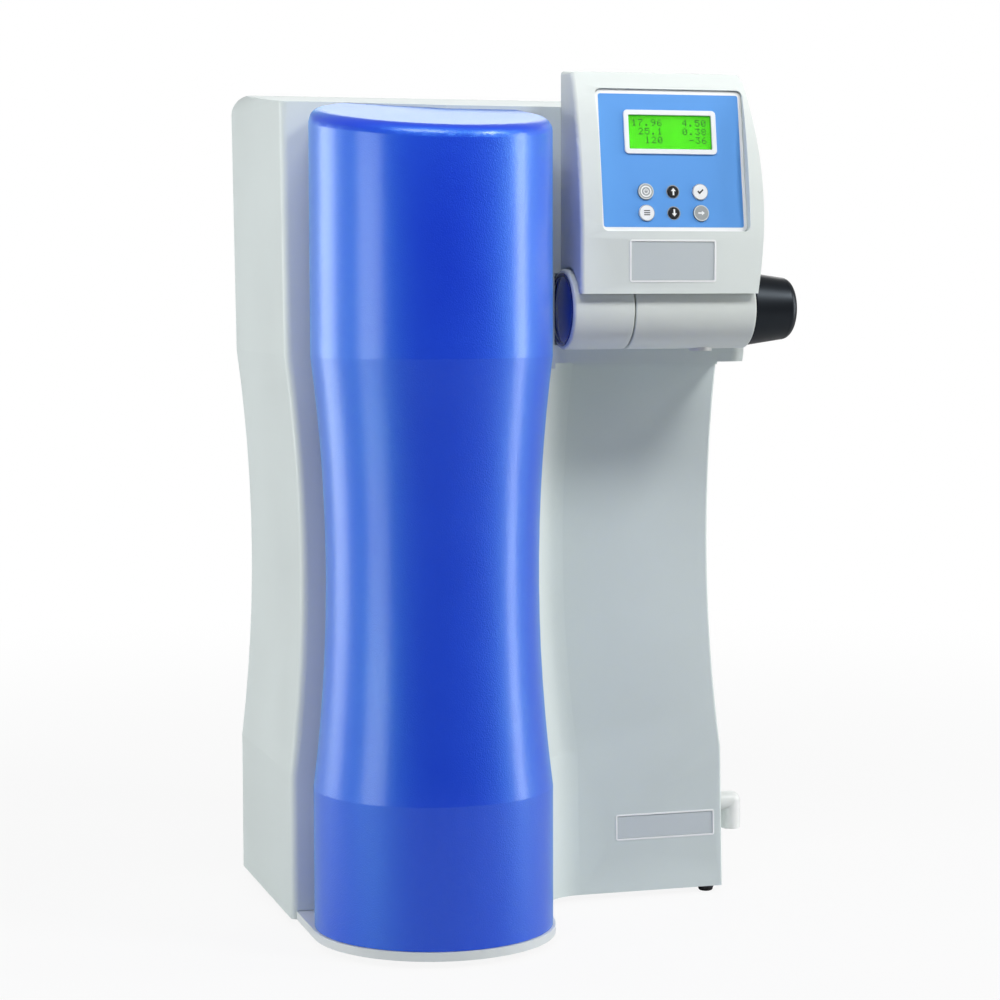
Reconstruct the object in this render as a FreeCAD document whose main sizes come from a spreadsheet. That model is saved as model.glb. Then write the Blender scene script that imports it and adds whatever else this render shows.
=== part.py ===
import FreeCAD, Part
import Sketcher
import math
import os
from types import SimpleNamespace
from FreeCAD import Placement, Rotation, Vector

# Driving dimensions in millimetres. X is to the right, Y to the back and Z up.
# The housing is laid out round its own middle; every piece is then shifted so
# that the origin lies on the bench under the middle of the whole object.
DIMENSIONS = {
    # housing
    "bench_gap": 7.0,
    "floor_drop": 2.6,
    "half_base": 149.1,
    "upper_flare": 1.2,
    "top_flare": 3.1,
    "waist_low": 100.0,
    "waist_high": 367.0,
    "waist_depth": 8.6,
    "rear_face": 144.7,
    "top_rear": 540.2,
    "top_drop": 15.2,
    "top_corner": 14.0,
    "strip_face": 20.0,
    "strip_width": 30.4,
    "slant_width": 66.0,
    "front_face": 48.0,
    "wall": 3.0,
    "edge_round": 4.5,
    "column_round": 1.5,
    "lip_round": 12.0,
    # recess of the dispensing bay
    "flank_gap": 12.0,
    "flank_round": 31.0,
    "column_face": 8.6,
    "column_lean": 16.5,
    "bay_top": 361.0,
    "band_height": 3.4,
    "band_depth": 1.5,
    # rear opening
    "rear_seat": 3.0,
    "ledge_depth": 5.0,
    "ledge_width": 9.0,
    "panel_sheet": 2.0,
    "panel_gap": 0.4,
    # base tray
    "tray_y": 74.0,
    "tray_lip": 1.6,
    "tray_height": 5.3,
    "tray_floor": 3.0,
    "tray_rim": 13.0,
    "tray_boss": 12.0,
    "tray_boss_height": 22.0,
    "tray_screw_length": 12.0,
    "pedestal_radius": 24.0,
    "tray_gap": 0.4,
    # feet
    "foot_radius": 5.9,
    "foot_sole": 4.9,
    "foot_spigot": 2.5,
    "foot_round": 1.5,
    "foot_left_inset": 39.1,
    "foot_right_inset": 9.1,
    "foot_front_left": 60.0,
    "foot_rear": 120.0,
    # front cover
    "cover_share": 0.501,
    "cover_inset": 4.7,
    "cover_wall": 2.8,
    "cover_gap": 0.3,
    "cover_top_rear": 525.0,
    "cover_top_drop": 21.5,
    "cover_round": 8.0,
    "catch_width": 15.0,
    "catch_height": 20.0,
    "catch_depth": 12.0,
    "catch_low": 18.0,
    "catch_high": 450.0,
    "magnet_radius": 5.0,
    "magnet_height": 2.0,
    # barrels
    "barrel_y": 60.0,
    "barrel_z": 395.2,
    "barrel_radius": 25.3,
    "barrel_inset": 2.0,
    "barrel_stop": 8.4,
    "seam_share": 0.3328,
    "barrel_gap": 0.5,
    "barrel_round": 2.0,
    "cap_radius": 20.8,
    "cap_depth": 2.0,
    "cap_thickness": 3.0,
    "cap_dome": 4.0,
    "hinge_wall": 9.0,
    "neck_inset": 9.0,
    "neck_length": 26.0,
    "neck_depth": 16.0,
    "neck_top": 431.0,
    "axle_radius": 6.0,
    "axle_length": 44.0,
    "run_gap": 0.05,
    "seam_gap": 0.5,
    "seam_round": 0.8,
    "axle_depth": 22.0,
    # dispensing valve
    "valve_inset": 28.7,
    "chamber_radius": 12.0,
    "plug_radius": 10.0,
    "seat_thickness": 2.5,
    "plug_length": 20.0,
    "plug_bore_depth": 5.0,
    "spindle_radius": 5.0,
    "nozzle_radius": 7.2,
    "nozzle_length": 1.5,
    "nozzle_bore": 3.0,
    "nozzle_recess": 9.0,
    "way_radius": 2.5,
    # knob
    "knob_radius": 23.5,
    "knob_end_radius": 20.0,
    "knob_length": 31.2,
    "knob_gap": 0.4,
    "knob_round": 6.0,
    "knob_bore_depth": 20.0,
    "screw_radius": 1.5,
    # display head
    "head_inset": 3.0,
    "head_stop": 1.1,
    "shoulder_inset": 3.6,
    "head_side_radius": 375.0,
    "head_back": 48.8,
    "head_top": 545.0,
    "head_top_front": 69.5,
    "head_top_edge": 543.0,
    "head_front": 90.0,
    "head_brow": 440.0,
    "head_brow_radius": 330.0,
    "head_foot": 405.0,
    "head_corner": 10.0,
    "head_wall": 2.5,
    "head_round": 2.5,
    "head_gap": 0.8,
    # operating panel, measured on its own slope
    "panel_inset": 14.0,
    "panel_stop": 5.4,
    "panel_y": 70.9,
    "panel_z": 532.6,
    "panel_height": 90.6,
    "panel_degrees": 8.8,
    "panel_corner": 4.0,
    "label_border": 2.55,
    "label_height": 84.2,
    "label_top": 3.1,
    "label_thickness": 0.8,
    "screen_top": 16.1,
    "screen_share": 0.567,
    "screen_height": 22.2,
    "bezel_border": 2.5,
    "bezel_thickness": 1.2,
    "window_thickness": 3.1,
    "module_width": 72.0,
    "module_height": 34.0,
    "module_depth": 8.0,
    "key_pitch": 18.1,
    "key_row": 64.9,
    "key_row_pitch": 13.5,
    "key_radius": 5.1,
    "small_key_radius": 3.6,
    "key_gap": 0.3,
    "key_stand": 1.0,
    "key_flange": 0.9,
    "key_travel": 0.5,
    "board_thickness": 1.6,
    "switch_size": 6.0,
    "switch_height": 2.4,
    # bare plates
    "head_plate_shift": 1.65,
    "head_plate_width": 54.5,
    "head_plate_base": 413.5,
    "head_plate_height": 23.7,
    "plate_thickness": 0.8,
    "plate_gap": 0.2,
    "plate_corner": 1.5,
    "column_plate_stop": 6.9,
    "column_plate_width": 67.0,
    "column_plate_base": 42.8,
    "column_plate_height": 14.6,
    # cartridge behind the cover
    "cartridge_shift": 2.3,
    "cartridge_y": 91.0,
    "cartridge_radius": 31.0,
    "cartridge_base": 46.0,
    "cartridge_length": 330.0,
    "cartridge_cap": 22.0,
    "cartridge_groove": 1.5,
    "clip_width": 16.0,
    "clip_thickness": 2.5,
    "clip_low": 120.0,
    "clip_high": 320.0,
    "coupling_radius": 8.0,
    "coupling_length": 48.0,
    "coupling_bore": 3.0,
    "coupling_spread": 14.0,
    "coupling_depth": 5.0,
    # inner works
    "chassis_y": 62.0,
    "chassis_sheet": 1.5,
    "chassis_inset": 18.1,
    "chassis_top": 500.0,
    "chassis_flange": 18.0,
    "pump_y": 24.0,
    "pump_z": 58.0,
    "motor_radius": 30.0,
    "motor_inset": 25.1,
    "motor_length": 74.0,
    "motor_groove": 2.0,
    "motor_groove_pitch": 10.0,
    "pump_radius": 26.0,
    "pump_length": 36.0,
    "shaft_radius": 4.0,
    "pump_port_radius": 5.0,
    "pump_port_length": 14.0,
    "cradle_width": 52.0,
    "cradle_length": 16.0,
    "uv_inset": 65.1,
    "uv_y": 34.5,
    "uv_base": 60.0,
    "uv_length": 250.0,
    "uv_radius": 24.0,
    "uv_cap": 14.0,
    "lamp_radius": 8.0,
    "clamp_width": 12.0,
    "clamp_wall": 3.0,
    "filter_inset": 49.1,
    "filter_y": 34.5,
    "filter_base": 150.0,
    "filter_length": 220.0,
    "supply_inset": 31.1,
    "supply_width": 98.0,
    "supply_depth": 38.0,
    "supply_base": 30.0,
    "supply_height": 130.0,
    "case_wall": 1.2,
    "controller_left": 80.0,
    "controller_width": 160.0,
    "controller_base": 290.0,
    "controller_height": 110.0,
    "standoff_length": 8.0,
    "standoff_radius": 3.0,
    "chip_size": 18.0,
    "chip_height": 4.0,
    "manifold_inset": 40.0,
    "manifold_stop": 18.0,
    "manifold_depth": 34.0,
    "manifold_base": 420.0,
    "manifold_height": 30.0,
    "valve_size": 26.0,
    "coil_height": 34.0,
    "coil_radius": 11.0,
    "solenoid_x": 20.0,
    "riser_y": 40.0,
    "tube_insert": 5.0,
    "feed_rise_y": 105.0,
    "feed_start_y": 135.0,
    "nipple_radius": 6.0,
    "nipple_length": 10.0,
    "tube_radius": 4.0,
    "tube_bore": 2.8,
    "tube_bend": 22.0,
    # fittings on the walls
    "elbow_y": 16.0,
    "elbow_z": 59.5,
    "elbow_radius": 6.5,
    "elbow_stand": 14.9,
    "elbow_drop": 18.5,
    "elbow_bore": 4.1,
    "feed_inset": 53.1,
    "feed_z": 96.0,
    "feed_radius": 10.0,
    "feed_bore": 5.0,
    "port_reach": 16.0,
    "port_flange": 15.0,
    "port_flange_thickness": 4.0,
    "port_tail": 14.0,
    "drain_z": 54.0,
    "inlet_inset": 53.1,
    "inlet_z": 60.0,
    "inlet_width": 48.0,
    "inlet_height": 27.0,
    "inlet_depth": 22.0,
    "inlet_flange": 3.0,
    "inlet_wall": 3.5,
    "vent_half": 60.0,
    "vent_height": 3.0,
    "vent_pitch": 9.0,
    "screw_head": 3.2,
    "screw_head_height": 1.8,
    "screw_length": 6.0,
    "screw_gap": 0.1,
    # cutting tools run past what they cut by this much
    "overrun": 5.0,
    # edges are told apart to this nearness
    "nearness": 0.5,
}

doc = FreeCAD.newDocument("ultrapure_water_system")
sheet = doc.addObject("Spreadsheet::Sheet", "sizes")


class Size:
    """A length that keeps the sheet expression it was worked out from."""

    def __init__(self, text, number):
        self.text = text
        self.number = number

    def join(self, other, sign, number):
        return Size(f"({self.text} {sign} {as_size(other).text})", number)

    def __add__(self, other):
        return self.join(other, "+", self.number + as_size(other).number)

    def __sub__(self, other):
        return self.join(other, "-", self.number - as_size(other).number)

    def __mul__(self, other):
        return self.join(other, "*", self.number * as_size(other).number)

    def __truediv__(self, other):
        return self.join(other, "/", self.number / as_size(other).number)

    def __neg__(self):
        return Size(f"(-1 * {self.text})", -self.number)


def as_size(value):
    return value if isinstance(value, Size) else Size(repr(float(value)), float(value))


def number(value):
    return value.number if isinstance(value, Size) else float(value)


def half(size):
    return size / 2


def slant_length(rise, run):
    """Length of the slope that rises by one size over another."""
    return Size(f"sqrt({rise.text} ^ 2 + {run.text} ^ 2)", math.hypot(rise.number, run.number))


def other_leg(slant, leg):
    """Second short side of the right triangle on a slant."""
    square = slant.number ** 2 - leg.number ** 2
    return Size(f"sqrt({slant.text} ^ 2 - {leg.text} ^ 2)", math.sqrt(square))


def slope_angle(rise, run):
    degrees = math.degrees(math.atan2(run.number, rise.number))
    return Size(f"atan({run.text} / {rise.text})", degrees)


def fill_sheet():
    """One row of the sheet for each driving dimension."""
    for row, (name, value) in enumerate(DIMENSIONS.items(), start=1):
        sheet.set(f"A{row}", name)
        sheet.set(f"B{row}", str(value))
        sheet.setAlias(f"B{row}", name)
    doc.recompute()


fill_sheet()
s = SimpleNamespace(**{name: Size("sizes." + name, value) for name, value in DIMENSIONS.items()})

# Inset of an outer form, where the hollow's is the thickness of the wall.
FLUSH = as_size(0)

# Sizes across the housing follow from half its width: the cover takes the left
# side, and the barrels, the head and its panel share the width of the bay.
s.half_upper = s.half_base + s.upper_flare
s.half_top = s.half_base + s.top_flare
s.cover_radius = s.half_base * s.cover_share
s.tray_x = s.half_base - s.cover_radius - s.cover_inset
s.tray_radius = s.cover_radius + s.tray_lip
s.flank_face = s.cover_radius - s.tray_x + s.flank_gap
s.barrel_left = s.flank_face + s.barrel_inset
s.barrel_right = s.half_base - s.barrel_stop
s.barrel_seam = s.barrel_left + (s.barrel_right - s.barrel_left) * s.seam_share
s.neck_left = s.barrel_left + s.neck_inset
s.valve_x = s.barrel_right - s.valve_inset
s.head_left = s.barrel_left + s.head_inset
s.head_right = s.barrel_right - s.head_stop
s.head_shoulder = s.head_right - s.shoulder_inset
s.panel_left = s.head_left + s.panel_inset
s.panel_width = s.head_right - s.panel_left - s.panel_stop
s.label_width = s.panel_width - s.label_border * 2
s.screen_width = s.panel_width * s.screen_share
s.screen_left = half(s.panel_width - s.screen_width)
s.key_left = half(s.panel_width) - s.key_pitch
s.head_plate_left = half(s.head_left + s.head_right - s.head_plate_width) + s.head_plate_shift
s.column_plate_left = s.half_base - s.column_plate_width - s.column_plate_stop

# Places of the inner works and fittings from the side walls.
s.foot_left = s.half_base - s.foot_left_inset
s.foot_right = s.half_base - s.foot_right_inset
s.cartridge_x = s.tray_x + s.cartridge_shift
s.chassis_half = s.half_base - s.chassis_inset
s.motor_left = s.half_base - s.motor_inset
s.riser_x = s.motor_left - s.motor_length - half(s.pump_length)
s.uv_x = s.half_base - s.uv_inset
s.filter_x = s.half_base - s.filter_inset
s.supply_left = s.half_base - s.supply_inset
s.manifold_left = s.filter_x - s.manifold_inset
s.manifold_width = s.manifold_left + s.valve_x + s.manifold_stop
s.feed_x = s.half_base - s.feed_inset
s.inlet_x = s.half_base - s.inlet_inset
s.elbow_reach = s.half_base + s.elbow_stand

# The middle of the whole object seen from above, and the reach of the cutters.
object_right = s.barrel_right + s.knob_gap + s.knob_length
object_front = s.tray_y + s.tray_radius
object_rear = s.rear_face + s.port_reach
middle_x = half(object_right - s.half_top)
middle_y = half(object_rear - object_front)
beyond = object_right + s.overrun

ALONG_X = Rotation(Vector(0, 1, 0), 90)
ALONG_Y = Rotation(Vector(1, 0, 0), -90)
DOWN = Rotation(Vector(1, 0, 0), 180)
UPRIGHT = Rotation()

nodes = []

# Rows of slots in the rear panel.
VENT_ROWS = 9

# Grooves round the motor.
MOTOR_BANDS = 5

# Chips on the controller board.
CHIP_ROWS = 2
CHIP_COLUMNS = 3


def bind(target, prop, value):
    """Tie a property to the sheet, or leave it at a plain value."""
    if isinstance(value, Size):
        target.setExpression(prop, value.text)


def place(target, x=0, y=0, z=0, turn=UPRIGHT):
    """Put a piece at a place of the housing's own layout."""
    base_x = as_size(x) - middle_x
    base_y = as_size(y) - middle_y
    base_z = as_size(z) - s.floor_drop
    target.Placement = Placement(Vector(base_x.number, base_y.number, base_z.number), turn)
    bind(target, "Placement.Base.x", base_x)
    bind(target, "Placement.Base.y", base_y)
    bind(target, "Placement.Base.z", base_z)
    return target


def new_body(name, x=0, y=0, z=0, turn=UPRIGHT):
    return place(doc.addObject("PartDesign::Body", name), x, y, z, turn)


def new_sketch(body, plane, offset=0, lean=None):
    sketch = body.newObject("Sketcher::SketchObject", body.Name + "_sketch")
    support = [item for item in body.Origin.OriginFeatures if item.Role == plane + "_Plane"]
    sketch.AttachmentSupport = [(support[0], "")]
    sketch.MapMode = "FlatFace"
    turn = Rotation(Vector(-1, 0, 0), number(lean)) if lean is not None else Rotation()
    sketch.AttachmentOffset = Placement(Vector(0, 0, number(offset)), turn)
    bind(sketch, "AttachmentOffset.Base.z", offset)
    if lean is not None:
        bind(sketch, "AttachmentOffset.Rotation.Angle", lean)
    return sketch


def pin_point(sketch, geo, end, x, y):
    """Fix a point of a sketch at two sizes from its origin."""
    for kind, value, axis in (("DistanceX", x, -2), ("DistanceY", y, -1)):
        if number(value) == 0:
            sketch.addConstraint(Sketcher.Constraint("PointOnObject", geo, end, axis))
            continue
        at = sketch.addConstraint(Sketcher.Constraint(kind, -1, 1, geo, end, number(value)))
        bind(sketch, f"Constraints[{at}]", value)


def set_radius(sketch, geo, radius):
    at = sketch.addConstraint(Sketcher.Constraint("Radius", geo, number(radius)))
    bind(sketch, f"Constraints[{at}]", radius)


def arc_between(start, end, radius, leftward):
    """Short arc from start to end that turns to the left or to the right."""
    chord = end - start
    rise = math.sqrt(max(radius ** 2 - (chord.Length / 2) ** 2, 0))
    normal = Vector(-chord.y, chord.x, 0).normalize()
    centre = (start + end) / 2 + normal * (rise if leftward else -rise)
    first, last = (start, end) if leftward else (end, start)
    begin = math.atan2(first.y - centre.y, first.x - centre.x)
    finish = math.atan2(last.y - centre.y, last.x - centre.x)
    if finish < begin:
        finish += 2 * math.pi
    return Part.ArcOfCircle(Part.Circle(centre, Vector(0, 0, 1), radius), begin, finish)


def outline(sketch, corners, closed=True):
    """Chain of lines and arcs. A corner is (x, y), or (x, y, radius, side) where an
    arc leads on from it and turns to that side."""
    points = [Vector(number(c[0]), number(c[1]), 0) for c in corners]
    count = len(corners) if closed else len(corners) - 1
    ends = []
    for index in range(count):
        start = points[index]
        end = points[(index + 1) % len(points)]
        corner = corners[index]
        if len(corner) == 2:
            geo = sketch.addGeometry(Part.LineSegment(start, end), False)
            ends.append((geo, 1, 2))
            continue
        leftward = corner[3] == "left"
        geo = sketch.addGeometry(arc_between(start, end, number(corner[2]), leftward), False)
        ends.append((geo, 1, 2) if leftward else (geo, 2, 1))
    for index in range(count):
        geo, start_end, last_end = ends[index]
        pin_point(sketch, geo, start_end, corners[index][0], corners[index][1])
        if index + 1 < count or closed:
            follow = ends[(index + 1) % count]
            sketch.addConstraint(Sketcher.Constraint("Coincident", geo, last_end, follow[0], follow[1]))
        else:
            pin_point(sketch, geo, last_end, corners[-1][0], corners[-1][1])
        if len(corners[index]) > 2:
            set_radius(sketch, geo, corners[index][2])
    return sketch


def ring(sketch, x, y, radius):
    centre = Vector(number(x), number(y), 0)
    geo = sketch.addGeometry(Part.Circle(centre, Vector(0, 0, 1), number(radius)), False)
    pin_point(sketch, geo, 3, x, y)
    set_radius(sketch, geo, radius)
    return sketch


def rectangle(sketch, left, low, width, height, corner=None):
    """Upright rectangle, with round corners where a radius is given."""
    left, low = as_size(left), as_size(low)
    right, high = left + width, low + height
    if corner is None:
        return outline(sketch, [(left, low), (right, low), (right, high), (left, high)])
    return outline(sketch, [
        (left + corner, low), (right - corner, low, corner, "left"),
        (right, low + corner), (right, high - corner, corner, "left"),
        (right - corner, high), (left + corner, high, corner, "left"),
        (left, high - corner), (left, low + corner, corner, "left"),
    ])


def pad(body, sketch, length, back=False):
    feature = body.newObject("PartDesign::Pad", body.Name + "_pad")
    feature.Profile = sketch
    feature.Length = number(length)
    bind(feature, "Length", length)
    feature.Reversed = back
    return feature


def pocket(body, sketch, length, back=False):
    feature = body.newObject("PartDesign::Pocket", body.Name + "_pocket")
    feature.Profile = sketch
    feature.Length = number(length)
    bind(feature, "Length", length)
    feature.Reversed = back
    return feature


def revolve(body, sketch):
    """Full turn about the sketch's own upright axis."""
    feature = body.newObject("PartDesign::Revolution", body.Name + "_turn")
    feature.Profile = sketch
    feature.ReferenceAxis = (sketch, ["V_Axis"])
    feature.Angle = 360
    return feature


def round_edges(body, feature, radius, wanted):
    """Fillet the edges of a feature whose middle, seen from the body's own origin,
    passes the test."""
    doc.recompute()
    names = []
    for index, edge in enumerate(feature.Shape.Edges, start=1):
        middle = edge.valueAt((edge.FirstParameter + edge.LastParameter) / 2)
        if wanted(middle):
            names.append(f"Edge{index}")
    fillet = body.newObject("PartDesign::Fillet", body.Name + "_round")
    fillet.Base = (feature, names)
    fillet.Radius = number(radius)
    bind(fillet, "Radius", radius)
    return fillet


def cylinder(name, radius, length, x=0, y=0, z=0, turn=UPRIGHT):
    piece = doc.addObject("Part::Cylinder", name)
    bind(piece, "Radius", as_size(radius))
    bind(piece, "Height", as_size(length))
    return place(piece, x, y, z, turn)


def block(name, width, depth, height, x=0, y=0, z=0):
    piece = doc.addObject("Part::Box", name)
    bind(piece, "Length", as_size(width))
    bind(piece, "Width", as_size(depth))
    bind(piece, "Height", as_size(height))
    return place(piece, x, y, z)


def ball(name, radius, x, y, z):
    piece = doc.addObject("Part::Sphere", name)
    bind(piece, "Radius", radius)
    return place(piece, x, y, z)


def join(name, *pieces):
    result = doc.addObject("Part::MultiFuse", name)
    result.Shapes = list(pieces)
    result.Refine = True
    return result


def cut(name, base, *tools):
    tool = tools[0] if len(tools) == 1 else join(name + "_tools", *tools)
    result = doc.addObject("Part::Cut", name)
    result.Base = base
    result.Tool = tool
    result.Refine = True
    return result


def common(name, first, second):
    result = doc.addObject("Part::Common", name)
    result.Base = first
    result.Tool = second
    return result


def node(label, piece):
    """Enter a finished piece under its own name."""
    piece.Label = label
    nodes.append(piece)
    return piece


# Housing


def housing_front_view(sketch, inset, low, high):
    """Hourglass outline of the side walls under the round top corners."""
    base, upper, top = s.half_base - inset, s.half_upper - inset, s.half_top - inset
    waist = slant_radius(s.waist_high - s.waist_low, s.waist_depth)
    corner = s.top_corner - inset
    outline(sketch, [
        (-base, low), (base, low), (base, s.waist_low, waist, "right"),
        (upper, s.waist_high), (top, high - corner, corner, "left"),
        (top - corner, high), (corner - top, high, corner, "left"),
        (-top, high - corner), (-upper, s.waist_high, waist, "right"),
        (-base, s.waist_low),
    ])


def slant_radius(chord, depth):
    """Radius of the arc that sags by a depth under its chord."""
    return (chord * chord / 4 + depth * depth) / (depth * 2)


def cut_top_slope(body, inset):
    """The top falls towards the front."""
    sketch = new_sketch(body, "YZ", -beyond)
    high = s.top_rear + s.overrun * 4
    run = s.rear_face + s.front_face
    low = s.top_rear - s.top_drop * run / (s.rear_face + s.strip_face) - inset
    front, rear = s.front_face + s.overrun, s.rear_face + s.overrun
    outline(sketch, [
        (-front, low - slope_step()), (rear, s.top_rear + slope_step() - inset), (rear, high), (-front, high),
    ])
    pocket(body, sketch, beyond * 2, back=True)


def slope_step():
    """Rise of the top slope over one overrun."""
    return s.top_drop * s.overrun / (s.rear_face + s.strip_face)


def cut_front_step(body, inset):
    """The wall behind the cover steps back by a slant to the narrow strip at the left."""
    sketch = new_sketch(body, "XY", -s.overrun)
    inner = s.strip_width - s.half_base
    outline(sketch, [
        (-beyond, inset - s.strip_face), (inner, inset - s.strip_face),
        (inner + s.slant_width, inset - s.front_face),
        (inner + s.slant_width, -s.front_face - s.overrun * 2), (-beyond, -s.front_face - s.overrun * 2),
    ])
    pocket(body, sketch, s.top_rear + s.overrun * 4, back=True)


def bay_plan(sketch, inset, back):
    """Plan of the bay, open to the front and to the right."""
    centre_x = s.flank_face + s.flank_round
    centre_y = back - s.column_face - s.flank_round
    radius = s.flank_round + inset
    far = beyond * 2
    outline(sketch, [
        (centre_x - radius, -s.front_face - s.overrun * 8), (far, -s.front_face - s.overrun * 8),
        (far, centre_y + radius), (centre_x, centre_y + radius, radius, "left"),
        (centre_x - radius, centre_y),
    ])


def cut_bay(body, inset):
    """Dispensing bay: its plan is carried up a leaning, waisted path to a band that
    stands out under the barrels."""
    lean = slope_angle(s.bay_top, s.column_lean)
    stretch = slant_length(s.bay_top, s.column_lean) / s.bay_top
    section = new_sketch(body, "XY", -s.overrun)
    bay_plan(section, inset, FLUSH)
    path = new_sketch(body, "XZ", 0, lean)
    band_base = s.bay_top - s.band_height + inset
    low, high = s.waist_low * stretch, band_base * stretch
    waist = slant_radius(high - low, s.waist_depth)
    outline(path, [(0, -s.overrun * stretch), (0, low, waist, "right"), (0, high)], closed=False)
    pipe = body.newObject("PartDesign::SubtractivePipe", body.Name + "_bay")
    pipe.Profile = section
    pipe.Spine = (path, ["Edge1", "Edge2"])
    pipe.Mode = "Fixed"
    band = new_sketch(body, "XY", band_base)
    bay_plan(band, inset - s.band_depth, (band_base + s.overrun) * s.column_lean / s.bay_top)
    pocket(body, band, s.band_height, back=True)


def cut_barrel_groove(body, inset):
    """Trough across the upper front that the barrels lie in."""
    sketch = new_sketch(body, "YZ", s.barrel_left - s.barrel_gap * 2 - inset)
    ring(sketch, -s.barrel_y, s.barrel_z, s.barrel_radius + s.barrel_gap + inset)
    pocket(body, sketch, beyond, back=True)


def housing_form(name, inset=FLUSH):
    """Solid form of the housing, or of the hollow inside it."""
    body = new_body(name)
    front = new_sketch(body, "XZ", s.front_face - inset)
    hollow = number(inset) > 0
    low = s.bench_gap - s.overrun if hollow else s.bench_gap
    housing_front_view(front, inset, low, s.top_rear - inset)
    depth = s.front_face - inset + s.rear_face
    pad(body, front, depth - s.rear_seat - s.ledge_depth if hollow else depth, back=True)
    cut_top_slope(body, inset)
    cut_front_step(body, inset)
    cut_bay(body, inset)
    cut_barrel_groove(body, inset)
    return body


def near(value, size):
    return abs(value - number(size)) < number(s.nearness)


def clear_of(value, low, high):
    """Whether a place lies between two sizes and isn't at either."""
    return number(low + s.nearness) < value < number(high - s.nearness)


def round_housing(body):
    """Round the upright front edges of the outer form."""
    bay = s.bay_top - s.band_height
    left = half(s.strip_width) - s.half_base
    round_edges(body, body.Tip, s.edge_round, lambda m: (
        near(m.y, -s.strip_face) and m.x < number(left)
        and clear_of(m.z, s.bench_gap, s.top_rear - s.top_drop)))
    round_edges(body, body.Tip, s.column_round, lambda m: (
        m.x > number(s.half_base - s.edge_round * 2) and abs(m.y) < number(s.column_face * 2)
        and clear_of(m.z, s.bench_gap, bay) and m.y < number(s.column_face)))
    round_edges(body, body.Tip, s.lip_round, lambda m: (
        near(m.y, -s.front_face) and m.x > number(s.half_base) and m.z > number(s.bay_top + s.nearness)))
    round_edges(body, body.Tip, s.edge_round, lambda m: (
        near(m.y, -s.front_face) and abs(m.x - number(s.flank_face)) < number(s.waist_depth + s.nearness * 4)
        and clear_of(m.z, s.bench_gap, bay)))


def wall_hole(name, radius, x, y, z, length=None):
    """Round hole that runs along Y from a place on the front wall."""
    deep = s.front_face if length is None else length
    return cylinder(name, radius, deep, x, y, z, ALONG_Y)


def slant_at(x):
    """Front of the slanted wall at a place left of the middle."""
    run = s.half_base - s.strip_width - x
    return -s.strip_face - (s.front_face - s.strip_face) * run / s.slant_width


def column_at(z):
    """Front of the leaning wall of the bay at a height."""
    return (z + s.overrun) * s.column_lean / s.bay_top - s.column_face


def slant_turn():
    """Turn that sends the upright axis straight into the slanted wall."""
    angle = slope_angle(s.slant_width, s.front_face - s.strip_face).number
    return Rotation(Vector(0, 0, -1), angle).multiply(ALONG_Y)


def lean_turn():
    """Turn that lays a flat piece against the leaning wall of the bay."""
    return Rotation(Vector(1, 0, 0), 90 - slope_angle(s.bay_top, s.column_lean).number)


def screw(name, length, x, y, z, turn):
    """Screw whose head sits at the given place and stands out along the turned axis."""
    head = cylinder(name + "_head", s.screw_head, s.screw_head_height, x, y, z, turn)
    shank = cylinder(name + "_shank", s.screw_radius, length, x, y, z, turn.multiply(DOWN))
    return join(name, head, shank)


def group(name, pieces):
    result = doc.addObject("Part::Compound", name)
    result.Links = list(pieces)
    return result


def rear_screw_places():
    """Places of the rear screws along the middle of the ledge."""
    inset = half(s.ledge_width + s.wall) + s.panel_gap * 2
    waist = half(s.half_base + s.half_upper) - s.waist_depth - inset
    mid = half(s.waist_low + s.waist_high)
    low, high = s.waist_low - s.catch_height * 3, s.waist_high + s.waist_low
    places = []
    for side in (-1, 1):
        places.append(((s.half_base - inset) * side, low))
        places.append((waist * side, mid))
        places.append((half(s.half_upper + s.half_top) * side - inset * side, high))
        places.append((half(s.waist_low) * side, s.top_rear - inset))
    return places


def magnet_places():
    """Places and turns of the magnets that hold the cover."""
    left = s.cover_radius + s.tray_x - s.catch_width * 2
    right = half(s.catch_depth)
    places = []
    for low in (s.catch_low, s.catch_high):
        middle = low + half(s.catch_height)
        places.append((-left, slant_at(left), middle, slant_turn()))
        places.append((-right, -s.front_face, middle, ALONG_Y))
    return places


def coupling_places():
    return [s.cartridge_x + s.coupling_spread, s.cartridge_x - s.coupling_spread]


def coupling_height():
    return s.cartridge_base + s.cartridge_length - half(s.cartridge_cap)


def tray_screw_places():
    """Corner places where the tray is screwed to the housing."""
    side = s.half_base - s.wall - half(s.tray_boss)
    rear = s.foot_rear - half(s.tray_boss)
    return [(-side, rear), (side, rear), (-side, s.pump_y), (side, s.pump_y)]


def barrel_screw_places():
    return [s.barrel_seam + s.cap_depth * 8, s.barrel_right - s.chamber_radius]


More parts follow.
